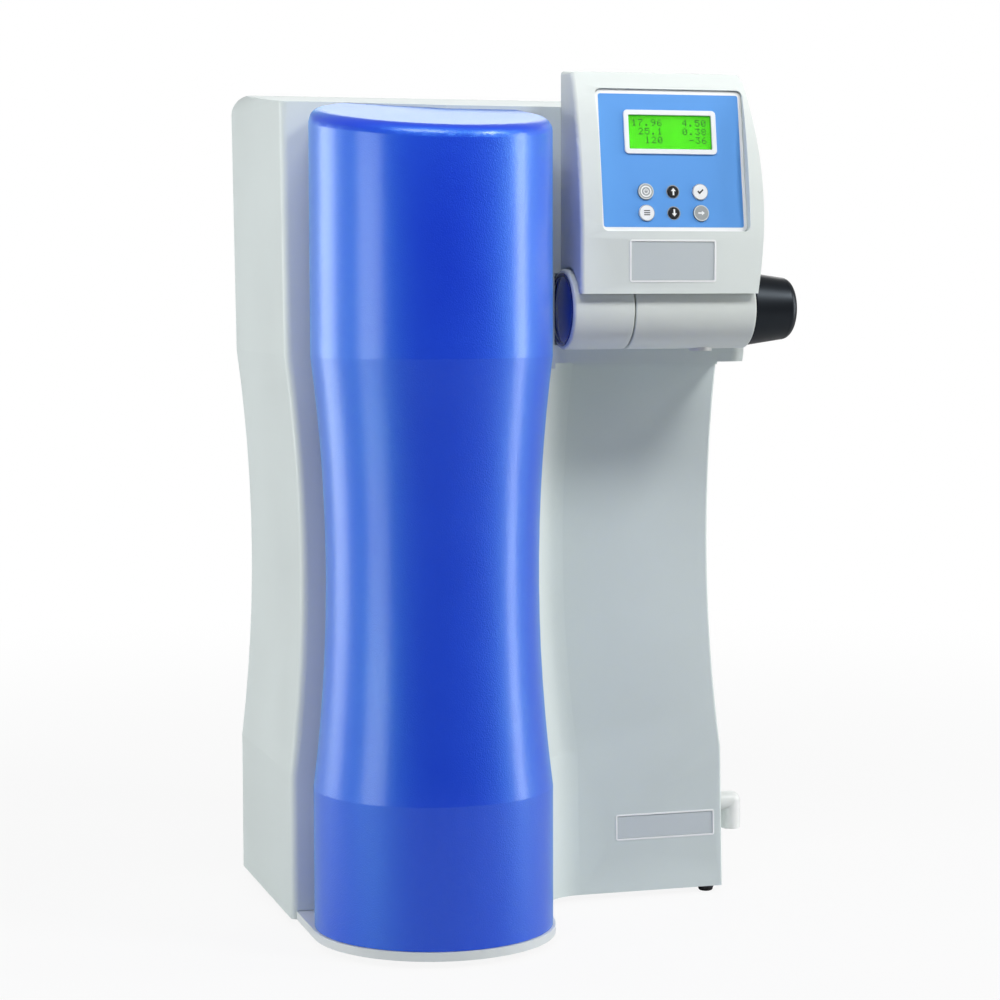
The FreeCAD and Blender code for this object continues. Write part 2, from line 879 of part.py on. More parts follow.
def housing_tools():
    """Everything that is cut from the wall of the housing."""
    gap = s.screw_gap
    inner_y = s.rear_face - s.rear_seat - s.ledge_depth
    ledge = new_body("ledge_opening")
    sketch = new_sketch(ledge, "XZ", s.overrun - inner_y)
    housing_front_view(sketch, s.ledge_width, s.bench_gap - s.overrun, s.top_rear - s.ledge_width)
    pad(ledge, sketch, s.rear_seat + s.ledge_depth + s.overrun * 2, back=True)
    seat = new_body("rear_seat")
    sketch = new_sketch(seat, "XZ", s.rear_seat - s.rear_face)
    housing_front_view(sketch, s.wall, s.bench_gap - s.overrun, s.top_rear - s.wall)
    pad(seat, sketch, s.rear_seat + s.overrun, back=True)
    clear = s.cover_gap
    foot = block(
        "tray_clearance", s.half_base - s.wall - s.tray_gap + s.flank_face - s.wall - clear,
        s.front_face, s.tray_height + s.overrun + clear,
        s.wall + s.tray_gap - s.half_base, -s.front_face - s.overrun * 2, s.bench_gap - s.overrun)
    rear_foot = block(
        "tray_rear_clearance", (s.half_base - s.wall) * 2, s.rear_seat + s.ledge_depth + s.overrun,
        s.tray_height + s.overrun + clear, s.wall - s.half_base, inner_y - s.overrun, s.bench_gap - s.overrun)
    tools = [ledge, seat, foot, rear_foot]
    for index, (x, z) in enumerate(rear_screw_places()):
        tools.append(wall_hole(f"rear_screw_hole_{index}", s.screw_radius + gap, x, inner_y - s.overrun, z))
    for index, (x, y, z, turn) in enumerate(magnet_places()):
        tools.append(cylinder(f"magnet_pocket_{index}", s.magnet_radius + gap, s.magnet_height,
                              x, y, z, turn))
    for index, x in enumerate(coupling_places()):
        tools.append(wall_hole(f"coupling_hole_{index}", s.coupling_radius + gap, -x, -s.front_face,
                               coupling_height()))
    for index, x in enumerate(barrel_screw_places()):
        tools.append(wall_hole(f"barrel_screw_hole_{index}", s.screw_radius + gap, x, -s.barrel_y,
                               s.barrel_z))
    tools.append(wall_hole("valve_port_hole", s.tube_radius + gap, s.valve_x, -s.barrel_y, s.barrel_z))
    tools.append(cylinder("elbow_hole", s.elbow_radius + gap, s.overrun * 4,
                          s.half_base - s.overrun * 2, s.elbow_y, s.elbow_z, ALONG_X))
    tools.append(plate_recess())
    return tools


def plate_recess():
    """Shallow recess for the bare plate at the foot of the bay's wall."""
    base = s.column_plate_base - s.plate_gap
    depth = s.plate_thickness + s.plate_gap
    recess = block(
        "column_plate_recess", s.column_plate_width + s.plate_gap * 2,
        s.column_plate_height + s.plate_gap * 2, depth + s.overrun,
        s.column_plate_left - s.plate_gap, column_at(base) + depth, base)
    recess.Placement.Rotation = lean_turn()
    return recess


def make_housing():
    outer = housing_form("housing_outer")
    round_housing(outer)
    hollow = housing_form("housing_hollow", s.wall)
    shell = cut("housing_walls", outer, hollow)
    bosses = []
    for index, (x, y) in enumerate(tray_screw_places()):
        side = x.number > 0
        left = x - half(s.tray_boss) if side else x - half(s.tray_boss) - half(s.wall)
        bosses.append(block(
            f"tray_boss_{index}", s.tray_boss + half(s.wall), s.tray_boss, s.tray_boss_height,
            left, y - half(s.tray_boss), s.bench_gap + s.tray_height + s.cover_gap))
    whole = join("housing_with_bosses", shell, *bosses)
    tools = housing_tools()
    for index, (x, y) in enumerate(tray_screw_places()):
        tools.append(cylinder(f"tray_screw_bore_{index}", s.screw_radius + s.screw_gap,
                              s.tray_screw_length, x, y, s.bench_gap + s.tray_height))
    node("housing_shell", cut("housing_shell", whole, *tools))


def make_rear_panel():
    body = new_body("rear_panel_sheet")
    face = s.rear_face - s.rear_seat
    sketch = new_sketch(body, "XZ", -face)
    housing_front_view(sketch, s.wall + s.panel_gap, s.bench_gap + s.panel_gap,
                       s.top_rear - s.wall - s.panel_gap)
    pad(body, sketch, s.panel_sheet, back=True)
    start = face - s.overrun
    deep = s.overrun * 3
    tools = [wall_hole(f"panel_screw_hole_{index}", s.screw_radius + s.screw_gap, x, start, z, deep)
             for index, (x, z) in enumerate(rear_screw_places())]
    for row in range(VENT_ROWS):
        tools.append(block(f"vent_{row}", s.vent_half * 2, deep, s.vent_height, -s.vent_half, start,
                           s.controller_base + s.vent_pitch * row))
    for index, z in enumerate((s.feed_z, s.drain_z)):
        tools.append(wall_hole(f"panel_port_hole_{index}", s.feed_radius + s.screw_gap, s.feed_x, start, z,
                               deep))
    tools.append(block("panel_inlet_hole", s.inlet_width + s.panel_gap, deep, s.inlet_height + s.panel_gap,
                       -s.inlet_x - half(s.inlet_width + s.panel_gap), start,
                       s.inlet_z - half(s.inlet_height + s.panel_gap)))
    node("rear_panel", cut("rear_panel", body, *tools))
    seat = face + s.panel_sheet
    screws = [screw(f"rear_screw_{index}", s.screw_length, x, seat, z, ALONG_Y)
              for index, (x, z) in enumerate(rear_screw_places())]
    node("rear_screws", group("rear_screws", screws))


# Base tray and feet


def foot_places():
    return [(-s.foot_left, -s.foot_front_left), (s.foot_right, FLUSH),
            (-s.foot_left, s.foot_rear), (s.foot_right, s.foot_rear)]


def make_tray():
    body = new_body("tray_form")
    sketch = new_sketch(body, "XY", s.bench_gap)
    side = s.half_base - s.wall - s.tray_gap
    rear = s.rear_face - s.wall - s.tray_gap
    strip = s.strip_face + s.tray_gap
    left = s.tray_x + s.tray_radius
    right = s.tray_radius - s.tray_x
    flank = s.flank_face - s.wall - s.tray_gap - s.cover_gap
    wall_y = -column_at(s.bench_gap + s.tray_height) - s.wall - s.tray_gap
    centre_x = s.flank_face + s.flank_round
    centre_y = wall_y + centre_x - flank
    front = s.front_face + s.tray_gap
    outline(sketch, [
        (-side, rear), (-side, -strip), (-left, -strip), (-left, -s.tray_y, s.tray_radius, "left"),
        (-s.tray_x, -s.tray_y - s.tray_radius, s.tray_radius, "left"), (right, -s.tray_y),
        (right, -front), (flank, -front), (flank, -centre_y, centre_x - flank, "right"),
        (centre_x, -wall_y), (side, -wall_y), (side, rear),
    ])
    pad(body, sketch, s.tray_height)
    rim = s.tray_rim
    inner = new_sketch(body, "XY", s.bench_gap + s.tray_height)
    outline(inner, [
        (rim - side, rear - rim), (rim - side, rim - strip), (flank - rim, rim - strip),
        (flank + s.tray_boss, rim - wall_y), (side - rim, rim - wall_y), (side - rim, rear - rim),
    ])
    pocket(body, inner, s.tray_height - s.tray_floor)
    top = s.bench_gap + s.tray_height
    pedestal = cylinder("pedestal", s.pedestal_radius, s.cartridge_base - top + s.tray_floor,
                        -s.cartridge_x, -s.cartridge_y, top - s.tray_floor)
    tools = []
    seat = s.bench_gap + s.screw_head_height + s.plate_gap
    for index, (x, y) in enumerate(tray_screw_places()):
        tools.append(cylinder(f"tray_screw_hole_{index}", s.screw_radius + s.screw_gap,
                              s.tray_height + s.overrun, x, y, s.bench_gap - s.overrun))
        tools.append(cylinder(f"tray_screw_sink_{index}", s.screw_head + s.plate_gap,
                              seat - s.bench_gap + s.overrun, x, y, s.bench_gap - s.overrun))
    for index, (x, y) in enumerate(foot_places()):
        tools.append(cylinder(f"foot_hole_{index}", s.foot_spigot + s.screw_gap,
                              s.tray_floor + s.overrun, x, y, s.bench_gap - s.overrun))
    node("base_tray", cut("base_tray", join("tray_with_pedestal", body, pedestal), *tools))
    screws = [screw(f"tray_screw_{index}", s.tray_screw_length, x, y, seat, DOWN)
              for index, (x, y) in enumerate(tray_screw_places())]
    node("tray_screws", group("tray_screws", screws))


def make_feet():
    feet = []
    for index, (x, y) in enumerate(foot_places()):
        body = new_body(f"foot_{index}", x, y, s.floor_drop)
        sketch = new_sketch(body, "XZ")
        sole, high = s.foot_sole, s.bench_gap - s.floor_drop
        outline(sketch, [
            (0, 0), (sole - s.foot_round, 0, s.foot_round, "left"), (sole, s.foot_round),
            (s.foot_radius, high), (s.foot_spigot, high), (s.foot_spigot, high + s.tray_floor - s.plate_gap),
            (0, high + s.tray_floor - s.plate_gap),
        ])
        revolve(body, sketch)
        feet.append(body)
    node("feet", group("feet", feet))


# Front cover


def cover_form(name, inset=FLUSH):
    """Waisted round form of the cover, or of the hollow inside it."""
    body = new_body(name, -s.tray_x, -s.tray_y)
    sketch = new_sketch(body, "XZ")
    radius = s.cover_radius - inset
    waist = slant_radius(s.waist_high - s.waist_low, s.waist_depth)
    hollow = number(inset) > 0
    low = s.bench_gap + s.tray_height + s.cover_gap
    low = low - s.overrun if hollow else low
    high = s.cover_top_rear + s.cover_top_drop
    outline(sketch, [
        (0, low), (radius, low), (radius, s.waist_low, waist, "right"), (radius, s.waist_high),
        (radius, high), (0, high),
    ])
    revolve(body, sketch)
    top = new_sketch(body, "YZ", -beyond)
    rear = s.tray_y - s.strip_face
    reach = s.cover_radius + rear
    side = s.cover_radius + s.overrun
    slope = s.cover_top_drop / reach
    outline(top, [
        (-side, s.cover_top_rear - slope * (side + rear) - inset),
        (side, s.cover_top_rear + slope * (side - rear) - inset),
        (side, high + s.overrun), (-side, high + s.overrun),
    ])
    pocket(body, top, beyond * 2, back=True)
    if not hollow:
        round_edges(body, body.Tip, s.cover_round, lambda m: (
            math.hypot(m.x, m.y) > number(s.cover_radius - s.nearness)
            and m.z > number(s.catch_high + s.catch_height)))
        behind = new_sketch(body, "XY", 0)
        wall_plan(behind, s.tray_x, s.tray_y)
        pocket(body, behind, s.cover_top_rear + s.overrun * 4, back=True)
    return body


def wall_plan(sketch, shift_x=0, shift_y=0):
    """Everything behind the front wall and its gap, seen from above."""
    front = s.front_face + s.cover_gap - shift_y
    strip = s.strip_face + s.cover_gap - shift_y
    crease = s.half_base - s.strip_width - shift_x
    return outline(sketch, [
        (-beyond, -strip), (-crease, -strip), (s.slant_width - crease, -front), (beyond, -front),
        (beyond, beyond), (-beyond, beyond),
    ])


def make_cover():
    outer = cover_form("cover_outer")
    hollow = cover_form("cover_hollow", s.cover_wall)
    parts = [cut("cover_shell", outer, hollow)]
    left = s.cover_radius + s.tray_x
    deep = s.catch_width + s.strip_face
    start = -s.strip_face - s.tray_y + s.catch_depth * 2 + s.overrun
    for index, low in enumerate((s.catch_low, s.catch_high)):
        first = block(f"left_catch_{index}", s.catch_width * 2 + s.overrun * 2, deep, s.catch_height,
                      -left + s.overrun, -s.strip_face * 2, low)
        second = block(f"right_catch_{index}", s.catch_width + s.overrun, deep, s.catch_height,
                       -s.catch_depth, start, low)
        parts.append(common(f"left_catch_block_{index}", outer, first))
        parts.append(common(f"right_catch_block_{index}", outer, second))
    node("front_cover", join("front_cover", *parts))
    magnets = [cylinder(f"magnet_{index}", s.magnet_radius, s.magnet_height - s.screw_gap, x, y, z, turn)
               for index, (x, y, z, turn) in enumerate(magnet_places())]
    node("cover_magnets", group("cover_magnets", magnets))


# Cartridge behind the cover


def make_cartridge():
    body = new_body("cartridge_form", -s.cartridge_x, -s.cartridge_y, s.cartridge_base)
    sketch = new_sketch(body, "XZ")
    radius, high, cap = s.cartridge_radius, s.cartridge_length, s.cartridge_cap
    inner = radius - s.cartridge_groove
    outline(sketch, [
        (0, 0), (radius - s.foot_round, 0, s.foot_round, "left"), (radius, s.foot_round), (radius, cap),
        (inner, cap), (inner, high - cap - half(cap)), (radius, high - cap - half(cap)),
        (radius, high - s.foot_round, s.foot_round, "left"), (radius - s.foot_round, high), (0, high),
    ])
    revolve(body, sketch)
    tools = []
    pieces = []
    for index, x in enumerate(coupling_places()):
        height = coupling_height()
        front = -s.cartridge_y + half(s.cartridge_radius) + s.coupling_depth
        tools.append(wall_hole(f"coupling_socket_{index}", s.coupling_radius + s.screw_gap, -x, front,
                               height))
        tube = wall_hole(f"coupling_tube_{index}", s.coupling_radius, -x, front + s.cover_gap, height,
                         s.coupling_length)
        bore = wall_hole(f"coupling_bore_{index}", s.coupling_bore, -x, front - s.overrun, height,
                         s.coupling_length + s.overrun * 2)
        pieces.append(cut(f"coupling_{index}", tube, bore))
    node("cartridge", cut("cartridge", body, *tools))
    node("cartridge_couplings", group("cartridge_couplings", pieces))
    behind = new_body("clip_clearance")
    sketch = new_sketch(behind, "XY", 0)
    wall_plan(sketch)
    pad(behind, sketch, s.top_rear)
    clips = []
    for index, low in enumerate((s.clip_low, s.clip_high)):
        ring_form = cylinder(f"clip_ring_{index}", s.cartridge_radius + s.cover_gap + s.clip_thickness,
                             s.clip_width, -s.cartridge_x, -s.cartridge_y, low)
        arm = block(f"clip_arm_{index}", s.clip_width, s.front_face, s.clip_width,
                    -s.cartridge_x - half(s.clip_width), s.cartridge_radius - s.cartridge_y, low)
        room = cylinder(f"clip_room_{index}", s.cartridge_radius + s.cover_gap, s.clip_width + s.overrun * 2,
                        -s.cartridge_x, -s.cartridge_y, low - s.overrun)
        mouth = block(f"clip_mouth_{index}", s.cartridge_radius * 3, s.cartridge_radius * 2,
                      s.clip_width + s.overrun * 2, -s.cartridge_x - s.cartridge_radius * 3 / 2,
                      -s.cartridge_y - s.cartridge_radius * 5 / 2, low - s.overrun)
        clips.append(cut(f"clip_{index}", join(f"clip_whole_{index}", ring_form, arm), room, mouth, behind))
    node("cartridge_clips", group("cartridge_clips", clips))


# Barrels, dispensing valve and knob


def turned_body(name, start):
    """Body whose own upright axis is the line of the barrels."""
    return new_body(name, start, -s.barrel_y, s.barrel_z, ALONG_X)


def make_left_barrel():
    body = turned_body("left_barrel_form", s.barrel_left)
    sketch = new_sketch(body, "XZ")
    length = s.barrel_seam - s.barrel_left - s.seam_gap
    radius, edge = s.barrel_radius, s.barrel_round
    bore = s.axle_radius + s.run_gap
    cavity = radius - s.hinge_wall
    recess = s.cap_depth + s.cap_thickness
    seat = s.cap_radius + s.screw_gap
    web = length - s.axle_length + s.axle_depth + s.catch_depth
    seam = s.seam_round
    outline(sketch, [
        (cavity, recess), (seat, recess), (seat, 0), (radius - edge, 0, edge, "left"), (radius, edge),
        (radius, length - seam, seam, "left"), (radius - seam, length), (bore, length), (bore, web),
        (cavity, web),
    ])
    revolve(body, sketch)
    neck = block("neck", s.neck_length, s.neck_depth, s.neck_top - s.barrel_z, s.neck_left,
                 -s.barrel_y - half(s.neck_depth), s.barrel_z)
    room = cylinder("barrel_room", radius - s.head_wall, length, s.barrel_left, -s.barrel_y, s.barrel_z,
                    ALONG_X)
    duct = cylinder("neck_duct", s.tube_radius, s.neck_top - s.barrel_z + s.overrun,
                    s.neck_left + s.hinge_wall, -s.barrel_y, s.barrel_z)
    bores = [wall_hole(f"neck_screw_bore_{index}", s.screw_radius + s.screw_gap, x, -s.barrel_y, z,
                       s.neck_depth) for index, (x, z) in enumerate(neck_screw_places())]
    upper = cut("neck_upper", neck, room)
    node("left_barrel", cut("left_barrel", join("barrel_with_neck", body, upper), duct, *bores))


def neck_screw_places():
    height = s.neck_top - s.overrun
    return [(s.neck_left + s.overrun, height), (s.neck_left + s.neck_length - s.overrun, height)]


def make_end_cap():
    body = turned_body("end_cap_form", s.barrel_left + s.cap_depth - s.cap_dome / 3)
    sketch = new_sketch(body, "XZ")
    dome = slant_radius(s.cap_radius * 2, s.cap_dome / 3)
    outline(sketch, [
        (0, 0, dome, "left"), (s.cap_radius, s.cap_dome / 3),
        (s.cap_radius, s.cap_dome / 3 + s.cap_thickness), (0, s.cap_dome / 3 + s.cap_thickness),
    ])
    revolve(body, sketch)
    node("barrel_end_cap", body)


def make_hinge_axle():
    start = s.barrel_seam + s.axle_depth - s.axle_length
    node("hinge_axle", cylinder("hinge_axle", s.axle_radius, s.axle_length, start, -s.barrel_y, s.barrel_z,
                                ALONG_X))


def chamber_left():
    return s.valve_x - half(s.plug_length) - s.seat_thickness - s.cover_gap


def make_valve_barrel():
    start = s.barrel_seam + s.seam_gap
    body = turned_body("valve_barrel_form", start)
    sketch = new_sketch(body, "XZ")
    length = s.barrel_right - start
    deep = s.axle_depth - s.seam_gap + s.cover_gap
    bore = s.axle_radius + s.run_gap
    chamber = chamber_left() - start
    edge, seam = s.nearness * 2, s.seam_round
    outline(sketch, [
        (0, deep), (bore, deep), (bore, 0), (s.barrel_radius - seam, 0, seam, "left"),
        (s.barrel_radius, seam), (s.barrel_radius, length - edge, edge, "left"),
        (s.barrel_radius - edge, length),
        (s.chamber_radius, length), (s.chamber_radius, chamber), (0, chamber),
    ])
    revolve(body, sketch)
    foot = s.barrel_z - s.barrel_radius
    tools = [
        cylinder("outlet_drilling", s.way_radius, s.barrel_radius + s.overrun, s.valve_x, -s.barrel_y,
                 foot - s.overrun),
        cylinder("nozzle_socket", s.nozzle_radius + s.screw_gap, s.nozzle_recess + s.overrun, s.valve_x,
                 -s.barrel_y, foot - s.overrun),
        wall_hole("port_drilling", s.tube_radius + s.screw_gap, s.valve_x, -s.barrel_y, s.barrel_z),
    ]
    for index, x in enumerate(barrel_screw_places()):
        tools.append(wall_hole(f"barrel_thread_{index}", s.screw_radius + s.screw_gap, x,
                               s.barrel_radius - s.barrel_y - s.screw_length - s.wall, s.barrel_z))
    node("valve_barrel", cut("valve_barrel", body, *tools))
    seat = s.barrel_radius + s.barrel_gap + s.wall - s.barrel_y
    screws = [screw(f"barrel_screw_{index}", s.screw_length + s.wall, x, seat, s.barrel_z, ALONG_Y)
              for index, x in enumerate(barrel_screw_places())]
    node("barrel_screws", group("barrel_screws", screws))


def turned_ring(name, start, length, outer, inner):
    """Ring or sleeve round the line of the barrels."""
    whole = cylinder(name + "_whole", outer, length, start, -s.barrel_y, s.barrel_z, ALONG_X)
    bore = cylinder(name + "_bore", inner, length + s.overrun * 2, start - s.overrun, -s.barrel_y,
                    s.barrel_z, ALONG_X)
    return cut(name, whole, bore)


def make_valve():
    fit = s.chamber_radius - s.run_gap
    bore = s.spindle_radius + s.run_gap
    first = chamber_left()
    second = s.valve_x + half(s.plug_length) + s.cover_gap
    seats = [turned_ring("left_seat", first, s.seat_thickness, fit, bore),
             turned_ring("right_seat", second, s.seat_thickness, fit, bore)]
    node("valve_seats", group("valve_seats", seats))
    start = second + s.seat_thickness
    node("valve_gland", turned_ring("valve_gland", start, s.barrel_right - start, fit, bore))
    plug = cylinder("plug_form", s.plug_radius, s.plug_length, s.valve_x - half(s.plug_length),
                    -s.barrel_y, s.barrel_z, ALONG_X)
    way = cylinder("plug_way", s.way_radius, s.plug_radius * 3, s.valve_x, -s.barrel_y,
                   s.barrel_z - s.plug_radius * 3 / 2)
    end = s.valve_x + half(s.plug_length) - s.plug_bore_depth
    socket = cylinder("plug_socket", bore, s.plug_bore_depth + s.overrun, end, -s.barrel_y, s.barrel_z,
                      ALONG_X)
    node("valve_plug", cut("valve_plug", plug, way, socket))
    reach = s.barrel_right + s.knob_gap + s.knob_bore_depth - s.cover_gap
    node("valve_spindle", cylinder("valve_spindle", s.spindle_radius, reach - end, end, -s.barrel_y,
                                   s.barrel_z, ALONG_X))
    foot = s.barrel_z - s.barrel_radius - s.nozzle_length
    high = s.nozzle_length + s.nozzle_recess
    nozzle = cylinder("nozzle_form", s.nozzle_radius, high, s.valve_x, -s.barrel_y, foot)
    hole = cylinder("nozzle_hole", s.nozzle_bore, high + s.overrun * 2, s.valve_x, -s.barrel_y,
                    foot - s.overrun)
    node("outlet_nozzle", cut("outlet_nozzle", nozzle, hole))


def make_knob():
    start = s.barrel_right + s.knob_gap
    body = turned_body("knob_form", start)
    sketch = new_sketch(body, "XZ")
    bore = s.spindle_radius + s.run_gap
    near_edge = s.nearness * 2
    far = s.knob_end_radius
    outline(sketch, [
        (0, s.knob_bore_depth), (bore, s.knob_bore_depth), (bore, 0),
        (s.knob_radius - near_edge, 0, near_edge, "left"), (s.knob_radius, near_edge),
        (far, s.knob_length - s.knob_round, s.knob_round, "left"), (far - s.knob_round, s.knob_length),
        (0, s.knob_length),
    ])
    revolve(body, sketch)
    x = start + half(s.knob_bore_depth)
    hole = cylinder("grub_hole", s.screw_radius + s.screw_gap, s.knob_radius * 2, x, -s.barrel_y,
                    s.barrel_z, DOWN)
    node("dispensing_knob", cut("dispensing_knob", body, hole))
    node("knob_screw", cylinder("knob_screw", s.screw_radius, s.screw_length, x, -s.barrel_y,
                                s.barrel_z - s.spindle_radius - s.run_gap, DOWN))


# Display head


def head_side_view(sketch, inset):
    """Side outline of the head, open at the back where it is inset."""
    hollow = number(inset) > 0
    back = -s.head_back + s.overrun if hollow else -s.head_back
    radius = s.barrel_radius + s.head_gap + inset
    foot = s.head_foot + inset
    low = foot - s.barrel_z
    over = back + s.barrel_y
    outline(sketch, [
        (back, s.head_top - inset), (-s.head_top_front, s.head_top_edge - inset, s.head_brow_radius, "left"),
        (inset - s.head_front, s.head_brow), (inset - s.head_front, foot),
        (-s.barrel_y - other_leg(radius, low), foot, radius, "right"),
        (back, s.barrel_z + other_leg(radius, over)),
    ])


def head_form(name, inset=FLUSH):
    """Solid form of the display head, or of the hollow inside it."""
    body = new_body(name)
    side = new_sketch(body, "YZ", s.head_left + inset)
    head_side_view(side, inset)
    pad(body, side, s.head_right)
    right = new_sketch(body, "XZ", s.head_front + s.overrun)
    corner = s.head_corner - inset
    outline(right, [
        (s.head_right - inset, s.head_foot, s.head_side_radius, "left"),
        (s.head_shoulder - inset, s.head_top - inset - corner, corner, "left"),
        (s.head_shoulder - inset - corner, s.head_top - inset),
        (s.head_shoulder - inset - corner, s.head_top + s.overrun),
        (beyond, s.head_top + s.overrun), (beyond, s.barrel_z - s.overrun),
        (s.head_right - inset, s.barrel_z - s.overrun),
    ])
    pocket(body, right, s.head_front + s.overrun * 2)
    if number(inset) == 0:
        round_edges(body, body.Tip, s.head_round, lambda m: (
            near(m.x, s.head_left) and m.z > number(s.head_foot + s.nearness)
            and m.y < -number(s.head_back + s.nearness)))
    return body


PANEL_TURN = Rotation(Vector(1, 0, 0), 90 - number(s.panel_degrees))


def panel_body(name):
    """Body whose own frame lies on the operating panel's slope, with its origin at
    the upper left corner and its upright axis straight out of the panel."""
    return new_body(name, s.panel_left, -s.panel_y, s.panel_z, PANEL_TURN)


def panel_block(name, left, top, width, height, low, thickness, corner=None):
    """Flat piece on the panel's slope, its top measured down from the panel's edge."""
    body = panel_body(name)
    sketch = new_sketch(body, "XY", low)
    rectangle(sketch, left, -as_size(top) - height, width, height, corner)
    pad(body, sketch, thickness)
    return body


def key_places():
    """Name, column, row and radius of every key."""
    big, small = s.key_radius, s.small_key_radius
    return [
        ("power_key", 0, 0, big), ("up_key", 1, 0, small), ("confirm_key", 2, 0, big),
        ("menu_key", 0, 1, big), ("down_key", 1, 1, small), ("lamp_key", 2, 1, big),
    ]


def key_spot(column, row):
    return s.key_left + s.key_pitch * column, -s.key_row - s.key_row_pitch * row


def key_holes(name, low, thickness):
    body = panel_body(name)
    sketch = new_sketch(body, "XY", low)
    for _, column, row, radius in key_places():
        x, y = key_spot(column, row)
        ring(sketch, x, y, radius + s.key_gap)
    pad(body, sketch, thickness)
    return body


def head_boss_places():
    height = s.head_top - s.head_wall - half(s.tray_boss)
    return [(s.head_left + s.head_wall + half(s.tray_boss), height),
            (s.head_shoulder - s.head_wall - s.tray_boss, height)]


def make_head_shell():
    outer = head_form("head_outer")
    wall = s.head_wall
    hollow = head_form("head_hollow", wall)
    recess = panel_block("panel_recess", 0, 0, s.panel_width, s.panel_height, 0, s.head_front,
                         s.panel_corner)
    backing = panel_block("panel_backing", -wall, -wall, s.panel_width + wall * 2,
                          s.panel_height + wall * 2, -wall, s.head_front, s.panel_corner + wall)
    room = cut("head_room", hollow, backing)
    screen = panel_block("screen_hole", s.screen_left - s.key_gap * 3, s.screen_top - s.key_gap * 3,
                         s.screen_width + s.key_gap * 6, s.screen_height + s.key_gap * 6,
                         -wall - s.overrun, wall + s.overrun * 2)
    keys = key_holes("shell_key_holes", -wall - s.plate_gap, wall + s.overrun)
    opening = block("neck_opening", s.neck_length + wall * 2, s.neck_depth + wall * 2, s.overrun * 4,
                    s.neck_left - wall, -s.barrel_y - half(s.neck_depth) - wall, s.head_foot)
    gap = s.plate_gap
    plate = block("head_plate_recess", s.head_plate_width + gap * 2, s.overrun + s.plate_thickness + gap,
                  s.head_plate_height + gap * 2, s.head_plate_left - gap, -s.head_front - s.overrun,
                  s.head_plate_base - gap)
    shell = cut("head_walls", outer, room, recess, screen, keys, opening, plate)
    bosses = []
    bores = []
    back = -s.head_back - wall - s.cover_gap
    deep = s.tray_boss
    for index, (x, z) in enumerate(head_boss_places()):
        bosses.append(block(f"head_boss_{index}", deep, deep, deep, x - half(deep) - half(wall),
                            back - deep, z - half(deep)))
        bores.append(wall_hole(f"head_boss_bore_{index}", s.screw_radius + s.screw_gap, x,
                               back - s.screw_length, z))
    grown = join("head_with_bosses", shell, *bosses)
    node("head_front_shell", cut("head_front_shell", grown, *bores))


def make_head_back():
    gap = s.cover_gap
    inset = s.head_wall + gap
    body = new_body("back_cover_sheet")
    sketch = new_sketch(body, "XZ", s.head_back)
    reach = s.barrel_y - s.head_back - s.head_wall
    low = s.barrel_z + other_leg(s.barrel_radius + s.head_gap + inset, reach)
    top = s.head_top - inset - s.plate_gap * 3
    corner = s.head_corner - inset
    outline(sketch, [
        (s.head_left + inset, low), (s.head_right - inset, low, s.head_side_radius, "left"),
        (s.head_shoulder - inset, top - corner, corner, "left"),
        (s.head_shoulder - inset - corner, top), (s.head_left + inset, top),
    ])
    pad(body, sketch, s.head_wall)
    tools = []
    screws = []
    sink = s.screw_head_height + s.plate_gap
    for index, (x, z) in enumerate(neck_screw_places() + head_boss_places()):
        start = -s.head_back - s.head_wall - s.overrun
        tools.append(wall_hole(f"back_screw_hole_{index}", s.screw_radius + s.screw_gap, x, start, z,
                               s.overrun * 3))
        tools.append(wall_hole(f"back_screw_sink_{index}", s.screw_head + s.plate_gap, x,
                               -s.head_back - sink, z, s.overrun))
        screws.append(screw(f"head_screw_{index}", s.screw_length, x, -s.head_back - sink, z, ALONG_Y))
    node("head_back_cover", cut("head_back_cover", body, *tools))
    node("head_screws", group("head_screws", screws))


def make_panel():
    gap = s.key_gap
    label = panel_block("label_sheet", s.label_border, s.label_top, s.label_width, s.label_height, 0,
                        s.label_thickness, s.panel_corner)
    window_hole = panel_block("label_window_hole", s.screen_left - gap * 3, s.screen_top - gap * 3,
                              s.screen_width + gap * 6, s.screen_height + gap * 6, -s.overrun, s.overrun * 2)
    holes = key_holes("label_key_holes", -s.overrun, s.overrun * 2)
    node("panel_label", cut("panel_label", label, window_hole, holes))
    border = s.bezel_border
    frame = panel_block("bezel_frame", s.screen_left - border, s.screen_top - border,
                        s.screen_width + border * 2, s.screen_height + border * 2, s.label_thickness,
                        s.bezel_thickness, s.plate_corner)
    inner = panel_block("bezel_hole", s.screen_left, s.screen_top, s.screen_width, s.screen_height,
                        s.label_thickness - s.overrun, s.overrun * 2)
    node("lcd_bezel", cut("lcd_bezel", frame, inner))
    node("lcd_window", panel_block("lcd_window", s.screen_left - gap * 2, s.screen_top - gap * 2,
                                   s.screen_width + gap * 4, s.screen_height + gap * 4, -s.head_wall,
                                   s.window_thickness))
    spare_x = half(s.module_width - s.screen_width)
    spare_y = half(s.module_height - s.screen_height)
    node("display_module", panel_block("display_module", s.screen_left - spare_x, s.screen_top - spare_y,
                                       s.module_width, s.module_height,
                                       -s.head_wall - gap - s.module_depth, s.module_depth))
    node("head_plate", block("head_plate", s.head_plate_width, s.plate_thickness, s.head_plate_height,
                             s.head_plate_left, -s.head_front + s.plate_gap, s.head_plate_base))


